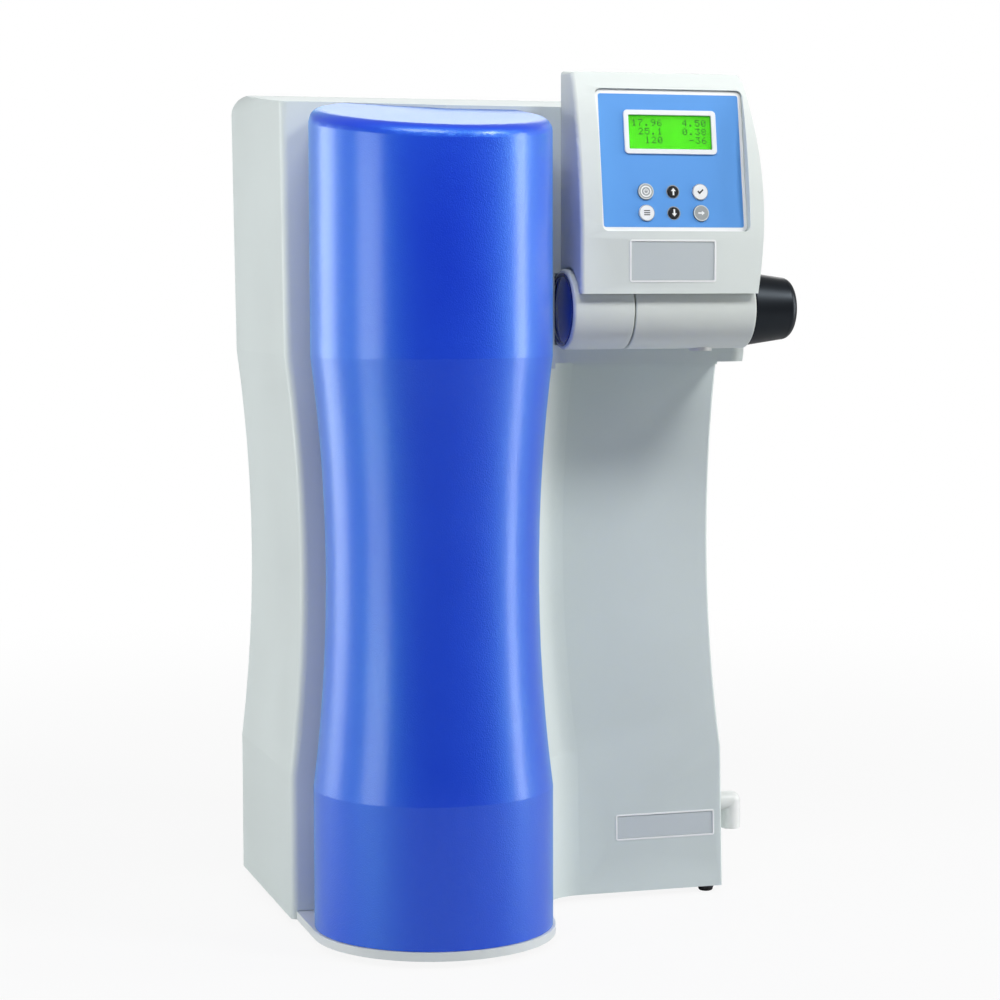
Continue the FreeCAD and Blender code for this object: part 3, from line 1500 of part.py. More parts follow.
def make_keys():
    flange_top = -s.head_wall - s.key_gap
    for name, column, row, radius in key_places():
        body = panel_body(name + "_form")
        x, y = key_spot(column, row)
        flange = new_sketch(body, "XY", flange_top)
        ring(flange, x, y, radius + s.key_flange)
        pad(body, flange, s.key_flange, back=True)
        stem = new_sketch(body, "XY", flange_top)
        ring(stem, x, y, radius)
        top = pad(body, stem, s.label_thickness + s.key_stand - flange_top)
        stand = s.label_thickness + s.key_stand
        round_edges(body, top, s.key_gap, lambda middle, stand=stand: near(middle.z, stand))
        node(name, body)
    switch_top = flange_top - s.key_flange - s.key_travel - s.plate_gap
    board_top = switch_top - s.switch_height
    margin = s.switch_size * 3 / 2
    side = s.key_pitch * 2 + margin * 2
    high = s.key_row_pitch + margin * 2
    board = panel_block("key_board_sheet", s.key_left - margin, s.key_row - margin, side, high,
                        board_top - s.board_thickness, s.board_thickness)
    switches = []
    for name, column, row, _ in key_places():
        x, y = key_spot(column, row)
        switches.append(panel_block(name + "_switch", x - half(s.switch_size), -y - half(s.switch_size),
                                    s.switch_size, s.switch_size, board_top, s.switch_height))
    node("key_board", join("key_board", board, *switches))


def make_column_plate():
    depth = s.plate_thickness + s.plate_gap
    plate = block("column_plate", s.column_plate_width, s.column_plate_height, s.plate_thickness,
                  s.column_plate_left, column_at(s.column_plate_base) + depth, s.column_plate_base)
    plate.Placement.Rotation = lean_turn()
    node("column_plate", plate)


# Inner works


def make_chassis():
    start = s.tray_floor + s.bench_gap
    plate = block("chassis_sheet_form", s.chassis_half * 2, s.chassis_sheet, s.chassis_top - start,
                  -s.chassis_half, s.chassis_y, start)
    flange = block("chassis_flange", s.chassis_half * 2, s.chassis_flange, s.chassis_sheet,
                   -s.chassis_half, s.chassis_y, start)
    back = s.chassis_y + s.chassis_sheet
    studs = []
    low, high = s.controller_base + s.overrun, s.controller_base + s.controller_height - s.overrun
    for side, x in (("right", s.controller_left - s.overrun), ("left", s.overrun - s.controller_left)):
        for level, z in (("low", low), ("high", high)):
            studs.append(cylinder(f"{side}_{level}_stud", s.standoff_radius, s.standoff_length, x, back, z,
                                  ALONG_Y))
    hole = wall_hole("feed_hole", s.tube_radius * 2, s.feed_x, s.chassis_y - s.overrun, manifold_middle())
    node("chassis_plate", cut("chassis_plate", join("chassis_whole", plate, flange, *studs), hole))


def manifold_middle():
    return s.manifold_base + half(s.manifold_height)


def pump_axis(name, radius, start, length):
    return cylinder(name, radius, length, start, s.pump_y, s.pump_z, ALONG_X)


def make_pump():
    gap = s.cover_gap
    left = -s.motor_left
    clear = s.shaft_radius + s.run_gap
    motor = pump_axis("motor_form", s.motor_radius, left, s.motor_length)
    grooves = []
    for row in range(MOTOR_BANDS):
        x = left + s.motor_groove_pitch * (row + 1)
        whole = pump_axis(f"groove_ring_{row}", s.motor_radius + s.overrun, x, s.motor_groove)
        core = pump_axis(f"groove_core_{row}", s.motor_radius - s.motor_groove, x, s.motor_groove)
        grooves.append(cut(f"motor_groove_{row}", whole, core))
    bore = pump_axis("motor_bore", clear, left + s.overrun, s.motor_length)
    node("pump_motor", cut("pump_motor", motor, bore, *grooves))
    start = left + s.motor_length + gap
    head = pump_axis("pump_head_form", s.pump_radius, start, s.pump_length)
    port = cylinder("pump_port", s.pump_port_radius + s.screw_radius, s.pump_radius + s.pump_port_length / 2,
                    -s.riser_x, s.riser_y, s.pump_z)
    chamber = pump_axis("pump_chamber", s.pump_radius - s.overrun, start + s.overrun * 2,
                        s.pump_length - s.overrun * 3)
    neck = pump_axis("pump_neck", clear, start - s.overrun, s.pump_length / 2)
    socket = cylinder("pump_socket", s.tube_radius + s.screw_gap, s.pump_radius * 2, -s.riser_x, s.riser_y,
                      s.pump_z + half(s.pump_radius))
    node("pump_head", cut("pump_head", join("pump_head_whole", head, port), chamber, neck, socket))
    shaft_start = left + s.overrun * 2
    shaft = pump_axis("shaft_form", s.shaft_radius, shaft_start,
                      start + s.pump_length - s.overrun * 2 - shaft_start)
    wheel = pump_axis("impeller", s.pump_radius - s.overrun - s.seat_thickness, start + s.overrun * 3,
                      s.pump_length - s.overrun * 5)
    node("pump_rotor", join("pump_rotor", shaft, wheel))
    floor = s.bench_gap + s.tray_floor
    front = s.pump_y - half(s.cradle_width)
    base = block("cradle_base", s.motor_length - s.overrun * 2, s.cradle_width, s.wall,
                 left + s.overrun, front, floor)
    ends = (left + s.overrun, left + s.motor_length - s.overrun - s.cradle_length)
    high = s.pump_z - floor - half(s.cradle_length)
    saddles = [block(f"saddle_{index}", s.cradle_length, s.cradle_width, high, x, front, floor)
               for index, x in enumerate(ends)]
    room = pump_axis("cradle_room", s.motor_radius + gap, left - s.overrun, s.motor_length + s.overrun * 2)
    node("motor_cradle", cut("motor_cradle", join("cradle_whole", base, *saddles), room))


def vessel(name, x, y, base, length, bore):
    """Upright treatment vessel with rounded ends and a nipple on top."""
    body = new_body(name + "_form", x, y, base)
    sketch = new_sketch(body, "XZ")
    radius, edge = s.uv_radius, s.top_corner
    nipple = s.nipple_radius
    outline(sketch, [
        (0, 0), (radius - edge, 0, edge, "left"), (radius, edge), (radius, length - edge, edge, "left"),
        (radius - edge, length), (nipple, length), (nipple, length + s.nipple_length),
        (bore, length + s.nipple_length), (bore, length - edge * 2), (0, length - edge * 2),
    ])
    revolve(body, sketch)
    return body


def make_vessels():
    bore = s.tube_radius + s.screw_gap
    node("filter_capsule", vessel("filter_capsule", -s.filter_x, s.filter_y, s.filter_base,
                                  s.filter_length, bore))
    body = vessel("uv_chamber", s.uv_x, s.uv_y, s.uv_base, s.uv_length, bore)
    room = cylinder("lamp_room", s.lamp_radius + s.screw_gap, half(s.uv_length), s.uv_x, s.uv_y,
                    s.uv_base - s.overrun)
    node("uv_chamber", cut("uv_chamber", body, room))
    lamp = cylinder("lamp_form", s.lamp_radius, half(s.uv_length) - s.overrun * 2, s.uv_x, s.uv_y,
                    s.uv_base)
    socket = cylinder("lamp_socket", s.lamp_radius + s.wall, s.uv_cap, s.uv_x, s.uv_y,
                      s.uv_base - s.uv_cap)
    node("uv_lamp", join("uv_lamp", lamp, socket))
    clamps = []
    places = [(s.uv_x, s.uv_base + s.uv_radius * 2), (s.uv_x, s.uv_base + s.uv_length - s.uv_radius * 2),
              (-s.filter_x, s.filter_base + half(s.filter_length))]
    for index, (x, z) in enumerate(places):
        clamps.append(clamp(index, x, z))
    node("vessel_clamps", group("vessel_clamps", clamps))


def clamp(index, x, z):
    """Open ring that holds a vessel to the chassis."""
    outer = s.uv_radius + s.clamp_wall
    gap = s.screw_gap
    ring_form = cylinder(f"clamp_ring_{index}", outer, s.clamp_width, x, s.uv_y, z)
    foot = block(f"clamp_foot_{index}", s.uv_radius * 2, s.clamp_wall, s.clamp_width, x - s.uv_radius,
                 s.chassis_y - s.clamp_wall, z)
    high = s.clamp_width + s.overrun * 2
    low = z - s.overrun
    room = cylinder(f"clamp_room_{index}", s.uv_radius + gap, high, x, s.uv_y, low)
    mouth = block(f"clamp_mouth_{index}", s.uv_radius, outer, high, x - half(s.uv_radius),
                  s.uv_y - outer * 3 / 2, low)
    behind = block(f"clamp_behind_{index}", outer * 2, outer, high, x - outer, s.chassis_y, low)
    return cut(f"clamp_{index}", join(f"clamp_whole_{index}", ring_form, foot), room, mouth, behind)


def make_electrics():
    back = s.chassis_y + s.chassis_sheet
    case = block("supply_case", s.supply_width, s.supply_depth, s.supply_height, -s.supply_left, back,
                 s.supply_base)
    lowest = s.supply_base + s.vent_pitch * 2
    slots = [block(f"supply_slot_{row}", s.supply_width - s.overrun * 4, s.case_wall, s.vent_height,
                   s.overrun * 2 - s.supply_left, back + s.supply_depth - s.case_wall,
                   lowest + s.vent_pitch * row) for row in range(VENT_ROWS)]
    node("power_supply", cut("power_supply", case, *slots))
    board_y = back + s.standoff_length
    board = block("board_form", s.controller_width, s.board_thickness, s.controller_height,
                  -s.controller_left, board_y, s.controller_base)
    chips = []
    pitch = s.chip_size * 2
    for row in range(CHIP_ROWS):
        for column in range(CHIP_COLUMNS):
            chips.append(block(f"chip_{row}_{column}", s.chip_size, s.chip_height, s.chip_size,
                               pitch * column - pitch - half(s.chip_size), board_y + s.board_thickness,
                               s.controller_base + s.chip_size + pitch * row))
    node("controller_board", join("controller_board", board, *chips))


def make_manifold():
    gap = s.screw_gap
    front = s.chassis_y - s.manifold_depth
    form = block("manifold_form", s.manifold_width, s.manifold_depth, s.manifold_height, -s.manifold_left,
                 front, s.manifold_base)
    hole = s.tube_radius + gap
    deep = s.tube_insert + s.overrun
    risers = ((-s.riser_x, s.riser_y), (s.uv_x, s.uv_y), (s.valve_x, outlet_rise_y()))
    tools = [cylinder(f"manifold_port_{index}", hole, deep, x, y, s.manifold_base - s.overrun)
             for index, (x, y) in enumerate(risers)]
    tools.append(wall_hole("manifold_feed_port", hole, s.feed_x, s.chassis_y - s.tube_insert,
                           manifold_middle(), deep))
    tools.append(cylinder("manifold_filter_port", hole, deep, -s.manifold_left - s.overrun, s.filter_y,
                          manifold_middle(), ALONG_X))
    node("flow_manifold", cut("flow_manifold", form, *tools))
    top = s.manifold_base + s.manifold_height
    body = block("solenoid_body", s.valve_size, s.valve_size, s.valve_size, s.solenoid_x - half(s.valve_size),
                 s.chassis_y - s.wall - s.valve_size, top)
    coil = cylinder("solenoid_coil", s.coil_radius, s.coil_height, s.solenoid_x,
                    s.chassis_y - s.wall - half(s.valve_size), top + s.valve_size)
    node("solenoid_valve", join("solenoid_valve", body, coil))


def outlet_rise_y():
    return s.chassis_y - half(s.manifold_depth)


def tube(name, plane, offset, corners, section_plane, section_offset, section_x, section_y):
    """Water tube swept along a path of straight runs and round bends."""
    body = new_body(name)
    section = new_sketch(body, section_plane, section_offset)
    ring(section, section_x, section_y, s.tube_radius)
    ring(section, section_x, section_y, s.tube_bore)
    path = new_sketch(body, plane, offset)
    outline(path, corners, closed=False)
    pipe = body.newObject("PartDesign::AdditivePipe", name + "_run")
    pipe.Profile = section
    pipe.Spine = (path, [f"Edge{index + 1}" for index in range(len(corners) - 1)])
    node(name, body)


def make_tubes():
    bend = s.tube_bend
    entry = s.tube_insert - s.plate_gap
    start = s.chamber_radius + s.run_gap * 4 - s.barrel_y
    rise = outlet_rise_y()
    low, high = s.barrel_z, s.manifold_base + entry
    tube("outlet_tube", "YZ", s.valve_x, [
        (start, low), (rise - bend, low, bend, "left"), (rise, low + bend), (rise, high),
    ], "XZ", -start, s.valve_x, low)
    start = s.feed_start_y
    rise = s.feed_rise_y
    low, high = s.feed_z, manifold_middle()
    tube("feed_tube", "YZ", s.feed_x, [
        (start, low), (rise + bend, low, bend, "right"), (rise, low + bend),
        (rise, high - bend, bend, "left"), (rise - bend, high), (s.chassis_y - entry, high),
    ], "XZ", -start, s.feed_x, low)
    low = s.filter_base + s.filter_length - s.top_corner
    tube("filter_tube", "XZ", -s.filter_y, [
        (-s.filter_x, low), (-s.filter_x, high - bend, bend, "right"), (bend - s.filter_x, high),
        (entry - s.manifold_left, high),
    ], "XY", low, -s.filter_x, s.filter_y)
    straight_tube("pump_tube", -s.riser_x, s.riser_y, s.pump_z + half(s.pump_radius) + s.overrun)
    straight_tube("uv_tube", s.uv_x, s.uv_y, s.uv_base + s.uv_length - s.top_corner)


def straight_tube(name, x, y, low):
    high = s.manifold_base + s.tube_insert - s.plate_gap
    whole = cylinder(name + "_whole", s.tube_radius, high - low, x, y, low)
    bore = cylinder(name + "_bore", s.tube_bore, high - low + s.overrun * 2, x, y, low - s.overrun)
    node(name, cut(name, whole, bore))


# Fittings on the walls


def make_rear_ports():
    face = s.rear_face - s.rear_seat + s.panel_sheet
    ports = []
    for index, z in enumerate((s.feed_z, s.drain_z)):
        start = face - s.panel_sheet - s.port_tail
        stem = wall_hole(f"port_stem_{index}", s.feed_radius, s.feed_x, start, z, object_rear - start)
        flange = wall_hole(f"port_flange_{index}", s.port_flange, s.feed_x, face, z, s.port_flange_thickness)
        seat = face - s.panel_sheet
        bore = wall_hole(f"port_bore_{index}", s.feed_bore, s.feed_x, seat, z, object_rear)
        tail = wall_hole(f"port_tail_{index}", s.tube_radius + s.screw_gap, s.feed_x, start - s.overrun, z,
                         s.port_tail + s.overrun * 2)
        ports.append(cut(f"port_{index}", join(f"port_whole_{index}", stem, flange), bore, tail))
    node("rear_ports", group("rear_ports", ports))


def make_power_inlet():
    face = s.rear_face - s.rear_seat + s.panel_sheet
    left = -s.inlet_x - half(s.inlet_width)
    low = s.inlet_z - half(s.inlet_height)
    case = block("inlet_case", s.inlet_width, s.inlet_depth + s.inlet_flange, s.inlet_height, left,
                 face - s.inlet_depth, low)
    rim = s.inlet_wall
    flange = block("inlet_flange", s.inlet_width + rim * 2, s.inlet_flange, s.inlet_height + rim * 2,
                   left - rim, face, low - rim)
    well = block("inlet_well", s.inlet_width - rim * 4, s.inlet_depth + s.inlet_flange,
                 s.inlet_height - rim * 2, left + rim * 2, face - s.inlet_depth + rim * 2, low + rim)
    pins = [block(f"inlet_pin_{index}", s.magnet_height, s.inlet_depth - rim * 2, s.screw_head,
                  -s.inlet_x + s.overrun * (index - 1) * 3 / 2, face - s.inlet_depth + rim,
                  s.inlet_z - half(s.screw_head)) for index in range(3)]
    shell = cut("inlet_shell", join("inlet_whole", case, flange), well)
    node("power_inlet", join("power_inlet", shell, *pins))


def make_elbow():
    radius = s.elbow_radius
    inside = s.half_base - s.overrun * 2
    run = cylinder("elbow_run", radius, s.elbow_reach - inside, inside, s.elbow_y, s.elbow_z, ALONG_X)
    knuckle = ball("elbow_knuckle", radius, s.elbow_reach, s.elbow_y, s.elbow_z)
    drop = cylinder("elbow_drop", radius, s.elbow_drop, s.elbow_reach, s.elbow_y, s.elbow_z, DOWN)
    lip = cylinder("elbow_collar", radius + s.plate_corner, s.seat_thickness, s.half_base, s.elbow_y,
                   s.elbow_z, ALONG_X)
    down = cylinder("elbow_bore", s.elbow_bore, s.elbow_drop + s.overrun, s.elbow_reach, s.elbow_y,
                    s.elbow_z, DOWN)
    across = cylinder("elbow_way", s.elbow_bore, s.elbow_reach - inside + s.overrun, inside - s.overrun,
                      s.elbow_y, s.elbow_z, ALONG_X)
    node("side_elbow", cut("side_elbow", join("elbow_whole", run, knuckle, drop, lip), down, across))


def main():
    make_housing()
    make_rear_panel()
    make_tray()
    make_feet()
    make_cover()
    make_cartridge()
    make_left_barrel()
    make_end_cap()
    make_hinge_axle()
    make_valve_barrel()
    make_valve()
    make_knob()
    make_head_shell()
    make_head_back()
    make_panel()
    make_keys()
    make_column_plate()
    make_chassis()
    make_pump()
    make_vessels()
    make_electrics()
    make_manifold()
    make_tubes()
    make_rear_ports()
    make_power_inlet()
    make_elbow()
    doc.recompute()
    check_document()
    export_nodes()


def check_document():
    """Stop at a feature that failed or a shape that is empty or broken."""
    for item in doc.Objects:
        if "Invalid" in item.State or "Error" in item.State:
            raise RuntimeError(f"{item.Name} is {item.State}")
    for piece in nodes:
        if piece.Shape.isNull() or not piece.Shape.isValid():
            raise RuntimeError(f"{piece.Label} has no valid shape")


def export_nodes():
    os.makedirs("parts", exist_ok=True)
    for piece in nodes:
        piece.Shape.exportStep(f"parts/{piece.Label}.step")
    print(len(nodes), "nodes written")


main()
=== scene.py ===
import math

import bmesh
import bpy
from mathutils import Matrix, Vector


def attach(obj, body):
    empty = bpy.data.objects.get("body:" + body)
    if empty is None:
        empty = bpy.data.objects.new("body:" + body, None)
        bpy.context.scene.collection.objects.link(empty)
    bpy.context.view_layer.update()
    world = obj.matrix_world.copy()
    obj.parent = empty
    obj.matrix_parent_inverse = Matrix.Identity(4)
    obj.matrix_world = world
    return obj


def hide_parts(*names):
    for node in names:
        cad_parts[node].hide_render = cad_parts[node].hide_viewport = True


bl_info = {
    "name": "Ultrapure water system",
    "version": (1, 0, 0),
    "blender": (4, 5, 0),
    "location": "View3D > Sidebar > Water system",
    "description": "Dresses the CAD frame of a bench-top ultrapure water system",
    "category": "Object",
}

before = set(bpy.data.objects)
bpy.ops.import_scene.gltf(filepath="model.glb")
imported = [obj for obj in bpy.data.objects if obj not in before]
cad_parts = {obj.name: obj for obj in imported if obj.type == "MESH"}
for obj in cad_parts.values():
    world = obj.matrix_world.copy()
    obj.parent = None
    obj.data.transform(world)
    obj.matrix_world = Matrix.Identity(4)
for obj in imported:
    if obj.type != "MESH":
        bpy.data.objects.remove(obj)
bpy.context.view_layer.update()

MM = 0.001

# Upper left corner of the operating panel and how far the panel leans back
PANEL_CORNER = Vector((0.02595, -0.0761, 0.53))
PANEL_LEAN = math.radians(8.8)
PANEL = Matrix.Translation(PANEL_CORNER) @ Matrix.Rotation(math.radians(90) - PANEL_LEAN, 4, "X")


# Materials: noise scales are in cycles per metre, bump depths in metres

NOISE_RANGE = (0.15, 0.85)
EDGE_RANGE = (0.505, 0.56)
DRIFT_SCALE = 14.0
GRAIN_STRENGTH = 0.5
ROUGH_DRIFT = 0.05
SHEEN_ROUGH = 0.35
COAT_ROUGH = 0.25

LINE_SCALE = 900.0
LINE_STRENGTH = 0.25
LINE_DEPTH = 0.00002
STAIN_SCALE = 22.0
STAIN_SHARE = 0.86

HAZE_SCALE = 60.0
HAZE_SHARE = 0.93
HAZE_ROUGH = 0.06
CLEAR_INDEX = 1.46

GLOW_SCALE = 45.0
GLOW_SHARE = 0.9
GLOW_ROUGH = (0.4, 0.5)
GLOW_STRENGTH = 0.45


def shader(name):
    """A fresh material with its principled shader and node tree."""
    material = bpy.data.materials.new(name)
    material.use_nodes = True
    tree = material.node_tree
    return material, tree, tree.nodes["Principled BSDF"]


def add(tree, kind, **values):
    """Add a node; keys that name a socket set it, the others are properties."""
    node = tree.nodes.new(kind)
    for key, value in values.items():
        if hasattr(node, key):
            setattr(node, key, value)
        else:
            node.inputs[key.replace("_", " ")].default_value = value
    return node


def object_noise(tree, scale, detail=3.0, stretch=(1, 1, 1)):
    """Noise laid in metres over the object."""
    place = add(tree, "ShaderNodeTexCoord")
    mapping = add(tree, "ShaderNodeMapping")
    mapping.inputs["Scale"].default_value = stretch
    noise = add(tree, "ShaderNodeTexNoise", Scale=scale, Detail=detail)
    tree.links.new(place.outputs["Object"], mapping.inputs["Vector"])
    tree.links.new(mapping.outputs["Vector"], noise.inputs["Vector"])
    return noise


def spread(tree, source, low, high):
    """Map a noise's range smoothly to another range."""
    node = add(tree, "ShaderNodeMapRange", interpolation_type="SMOOTHSTEP")
    node.inputs["From Min"].default_value, node.inputs["From Max"].default_value = NOISE_RANGE
    node.inputs["To Min"].default_value = low
    node.inputs["To Max"].default_value = high
    tree.links.new(source, node.inputs["Value"])
    return node.outputs["Result"]


def edge_mask(tree):
    """White on the outer edges, where handling rubs them."""
    geometry = add(tree, "ShaderNodeNewGeometry")
    ramp = add(tree, "ShaderNodeMapRange")
    ramp.inputs["From Min"].default_value, ramp.inputs["From Max"].default_value = EDGE_RANGE
    tree.links.new(geometry.outputs["Pointiness"], ramp.inputs["Value"])
    return ramp.outputs["Result"]


def mix_colour(tree, factor, first, second):
    """Mix of two colours, or of the outputs that carry them, by a factor's output."""
    node = add(tree, "ShaderNodeMix", data_type="RGBA")
    tree.links.new(factor, node.inputs[0])
    for socket, value in ((node.inputs[6], first), (node.inputs[7], second)):
        if isinstance(value, tuple):
            socket.default_value = value
        else:
            tree.links.new(value, socket)
    return node.outputs[2]


def linear(red, green, blue):
    """Linear colour of an eight-bit one, by the usual display curve."""
    values = []
    for value in (red, green, blue):
        share = value / 255
        values.append(share / 12.92 if share <= 0.04045 else ((share + 0.055) / 1.055) ** 2.4)
    return (*values, 1.0)


def shaded(colour, share):
    """The colour darkened to a share of itself."""
    return (*[channel * share for channel in colour[:3]], 1.0)


def uneven(tree, noise, share, colour):
    """Colour that drifts with a noise between a darker share of itself and itself."""
    factor = spread(tree, noise.outputs["Fac"], 0.0, 1.0)
    return mix_colour(tree, factor, shaded(colour, share), colour)


def uneven_rough(tree, surface, noise, low, high):
    """Let the roughness drift with a noise."""
    tree.links.new(spread(tree, noise.outputs["Fac"], low, high), surface.inputs["Roughness"])


def raise_bump(tree, surface, noise, strength, depth):
    """Let a noise raise the surface."""
    bump = add(tree, "ShaderNodeBump", Strength=strength, Distance=depth)
    tree.links.new(noise.outputs["Fac"], bump.inputs["Height"])
    tree.links.new(bump.outputs["Normal"], surface.inputs["Normal"])


WHITE = (1.0, 1.0, 1.0, 1.0)


def moulded(name, colour, rough=0.42, grain=1500.0, depth=0.00003, wear=0.25, blotch=0.06,
            coat=0.0, gloss=0.5, index=1.5, tint=WHITE, sheen=0.0, sheen_tint=WHITE):
    """Moulded plastic: fine grain, slow colour drift and paler rubbed edges."""
    material, tree, surface = shader(name)
    fine = object_noise(tree, grain, 2.0)
    slow = object_noise(tree, DRIFT_SCALE, 4.0)
    base = uneven(tree, slow, 1 - blotch, colour)
    rubbed = add(tree, "ShaderNodeMath", operation="MULTIPLY")
    tree.links.new(edge_mask(tree), rubbed.inputs[0])
    rubbed.inputs[1].default_value = wear
    pale = tuple(min(1.0, channel * 1.25 + 0.05) for channel in colour[:3]) + (1.0,)
    tree.links.new(mix_colour(tree, rubbed.outputs[0], base, pale), surface.inputs["Base Color"])
    uneven_rough(tree, surface, slow, rough - ROUGH_DRIFT, rough + ROUGH_DRIFT)
    raise_bump(tree, surface, fine, GRAIN_STRENGTH, depth)
    surface.inputs["Specular IOR Level"].default_value = gloss
    surface.inputs["Specular Tint"].default_value = tint
    surface.inputs["IOR"].default_value = index
    surface.inputs["Sheen Weight"].default_value = sheen
    surface.inputs["Sheen Roughness"].default_value = SHEEN_ROUGH
    surface.inputs["Sheen Tint"].default_value = sheen_tint
    surface.inputs["Coat Weight"].default_value = coat
    surface.inputs["Coat Roughness"].default_value = COAT_ROUGH
    return material


def metal(name, colour, rough=0.3, along=(1, 1, 40)):
    """Metal with fine lines of its finish and faint stains."""
    material, tree, surface = shader(name)
    lines = object_noise(tree, LINE_SCALE, 2.0, along)
    stains = object_noise(tree, STAIN_SCALE, 5.0)
    tree.links.new(uneven(tree, stains, STAIN_SHARE, colour), surface.inputs["Base Color"])
    uneven_rough(tree, surface, lines, rough - 0.08, rough + 0.1)
    raise_bump(tree, surface, lines, LINE_STRENGTH, LINE_DEPTH)
    surface.inputs["Metallic"].default_value = 1.0
    return material


def clear(name, colour, rough=0.08, alpha_share=0.4):
    """Clear or tinted plastic with faint haze."""
    material, tree, surface = shader(name)
    haze = object_noise(tree, HAZE_SCALE, 4.0)
    tree.links.new(uneven(tree, haze, HAZE_SHARE, colour), surface.inputs["Base Color"])
    uneven_rough(tree, surface, haze, rough, rough + HAZE_ROUGH)
    surface.inputs["Transmission Weight"].default_value = alpha_share
    surface.inputs["IOR"].default_value = CLEAR_INDEX
    return material


def lit(name, colour):
    """Display ground lit from behind, with a faint unevenness of its lamps."""
    material, tree, surface = shader(name)
    haze = object_noise(tree, GLOW_SCALE, 3.0)
    base = uneven(tree, haze, GLOW_SHARE, colour)
    tree.links.new(base, surface.inputs["Base Color"])
    tree.links.new(base, surface.inputs["Emission Color"])
    uneven_rough(tree, surface, haze, *GLOW_ROUGH)
    surface.inputs["Emission Strength"].default_value = GLOW_STRENGTH
    return material


PALETTE = {}


def paint(name):
    """The material of that name, made once."""
    if name not in PALETTE:
        kind, values = FINISHES[name]
        PALETTE[name] = kind(name, **values)
    return PALETTE[name]


FINISHES = {
    "housing_grey": (moulded, {"colour": linear(203, 213, 212), "rough": 0.46, "grain": 1300.0,
                               "depth": 0.00005}),
    "cover_blue": (moulded, {"colour": linear(5, 28, 214), "rough": 0.46, "grain": 1300.0,
                             "depth": 0.0004, "wear": 0.1, "blotch": 0.05, "coat": 0.7,
                             "gloss": 0.8, "index": 1.9, "tint": (0.15, 0.7, 1.0, 1.0),
                             "sheen": 0.5, "sheen_tint": (0.25, 0.75, 1.0, 1.0)}),
    "tray_grey": (moulded, {"colour": linear(214, 220, 220), "rough": 0.4}),
    "head_grey": (moulded, {"colour": linear(212, 219, 216), "rough": 0.4, "grain": 1700.0}),
    "barrel_grey": (moulded, {"colour": linear(212, 218, 214), "rough": 0.4, "grain": 1700.0}),
    # Deeper blue painted on the collar as the shade of the recess round the dome
    "cap_deep": (moulded, {"colour": linear(30, 48, 104), "rough": 0.25, "coat": 0.3}),
    "cap_blue": (moulded, {"colour": linear(44, 78, 160), "rough": 0.22, "coat": 0.5}),
    "knob_black": (moulded, {"colour": linear(9, 12, 18), "rough": 0.38, "grain": 1800.0,
                             "wear": 0.06, "gloss": 0.32, "tint": (0.75, 0.88, 1.0, 1.0)}),
    "label_blue": (moulded, {"colour": linear(96, 160, 232), "rough": 0.34, "grain": 2600.0,
                             "depth": 0.00001, "wear": 0.0, "blotch": 0.03}),
    "bezel_white": (moulded, {"colour": linear(238, 242, 244), "rough": 0.35}),
    "display_green": (lit, {"colour": linear(112, 240, 30)}),
    "key_white": (moulded, {"colour": linear(240, 243, 244), "rough": 0.35}),
    "key_grey": (moulded, {"colour": linear(160, 166, 168), "rough": 0.35}),
    "key_black": (moulded, {"colour": linear(26, 27, 30), "rough": 0.35}),
    "plate_pale": (moulded, {"colour": linear(188, 196, 199), "rough": 0.3, "grain": 2400.0}),
    "nozzle_white": (moulded, {"colour": linear(228, 231, 229), "rough": 0.35}),
    "foot_rubber": (moulded, {"colour": linear(32, 32, 34), "rough": 0.7, "grain": 900.0}),
    "cartridge_white": (moulded, {"colour": linear(234, 237, 238), "rough": 0.28}),
    "fitting_grey": (moulded, {"colour": linear(150, 158, 160), "rough": 0.45}),
    "panel_zinc": (moulded, {"colour": linear(196, 203, 205), "rough": 0.5, "grain": 800.0}),
    "board_green": (moulded, {"colour": linear(26, 98, 58), "rough": 0.4}),
    "motor_black": (moulded, {"colour": linear(50, 52, 56), "rough": 0.4}),
    "tube_natural": (clear, {"colour": linear(226, 232, 230), "rough": 0.2, "alpha_share": 0.5}),
    "lamp_glass": (clear, {"colour": linear(214, 226, 236), "rough": 0.05, "alpha_share": 0.8}),
    "screen_clear": (clear, {"colour": linear(170, 250, 110), "rough": 0.05, "alpha_share": 0.85}),
    "steel": (metal, {"colour": linear(176, 178, 180), "rough": 0.32}),
    "screw_steel": (metal, {"colour": linear(190, 192, 196), "rough": 0.25, "along": (1, 1, 1)}),
    "brass": (metal, {"colour": linear(196, 158, 88), "rough": 0.28, "along": (40, 1, 1)}),
    "ink_screen": (moulded, {"colour": linear(16, 74, 20), "rough": 0.5, "wear": 0.0}),
    # Darker green painted as shade round the display's edges
    "gasket_green": (moulded, {"colour": linear(58, 150, 36), "rough": 0.5, "wear": 0.0}),
    "ink_pale": (moulded, {"colour": linear(214, 220, 218), "rough": 0.4, "wear": 0.0}),
    # White for the printed signs on the keys, and for the painted highlights round the plates and
    # the label
    "ink_white": (moulded, {"colour": linear(244, 246, 246), "rough": 0.5, "wear": 0.0}),
}


# Flat pieces and turned pieces

SHARP_ANGLE = math.radians(38)
BEVEL_ANGLE = math.radians(35)
SAME_PLANE = 0.00005


def around(x, y, radius, angles):
    """Points on a circle at the given angles."""
    return [(x + radius * math.cos(angle), y + radius * math.sin(angle)) for angle in angles]


def circle(x, y, radius, steps=48):
    """Outline of a circle."""
    return around(x, y, radius, [math.tau * step / steps for step in range(steps)])


def rounded(low_x, low_y, high_x, high_y, radius, steps=8):
    """Rectangle with round corners."""
    points = []
    corners = ((high_x - radius, high_y - radius, 0), (low_x + radius, high_y - radius, 1),
               (low_x + radius, low_y + radius, 2), (high_x - radius, low_y + radius, 3))
    for x, y, quarter in corners:
        angles = [math.radians(90) * (quarter + step / steps) for step in range(steps + 1)]
        points.extend(around(x, y, radius, angles))
    return points


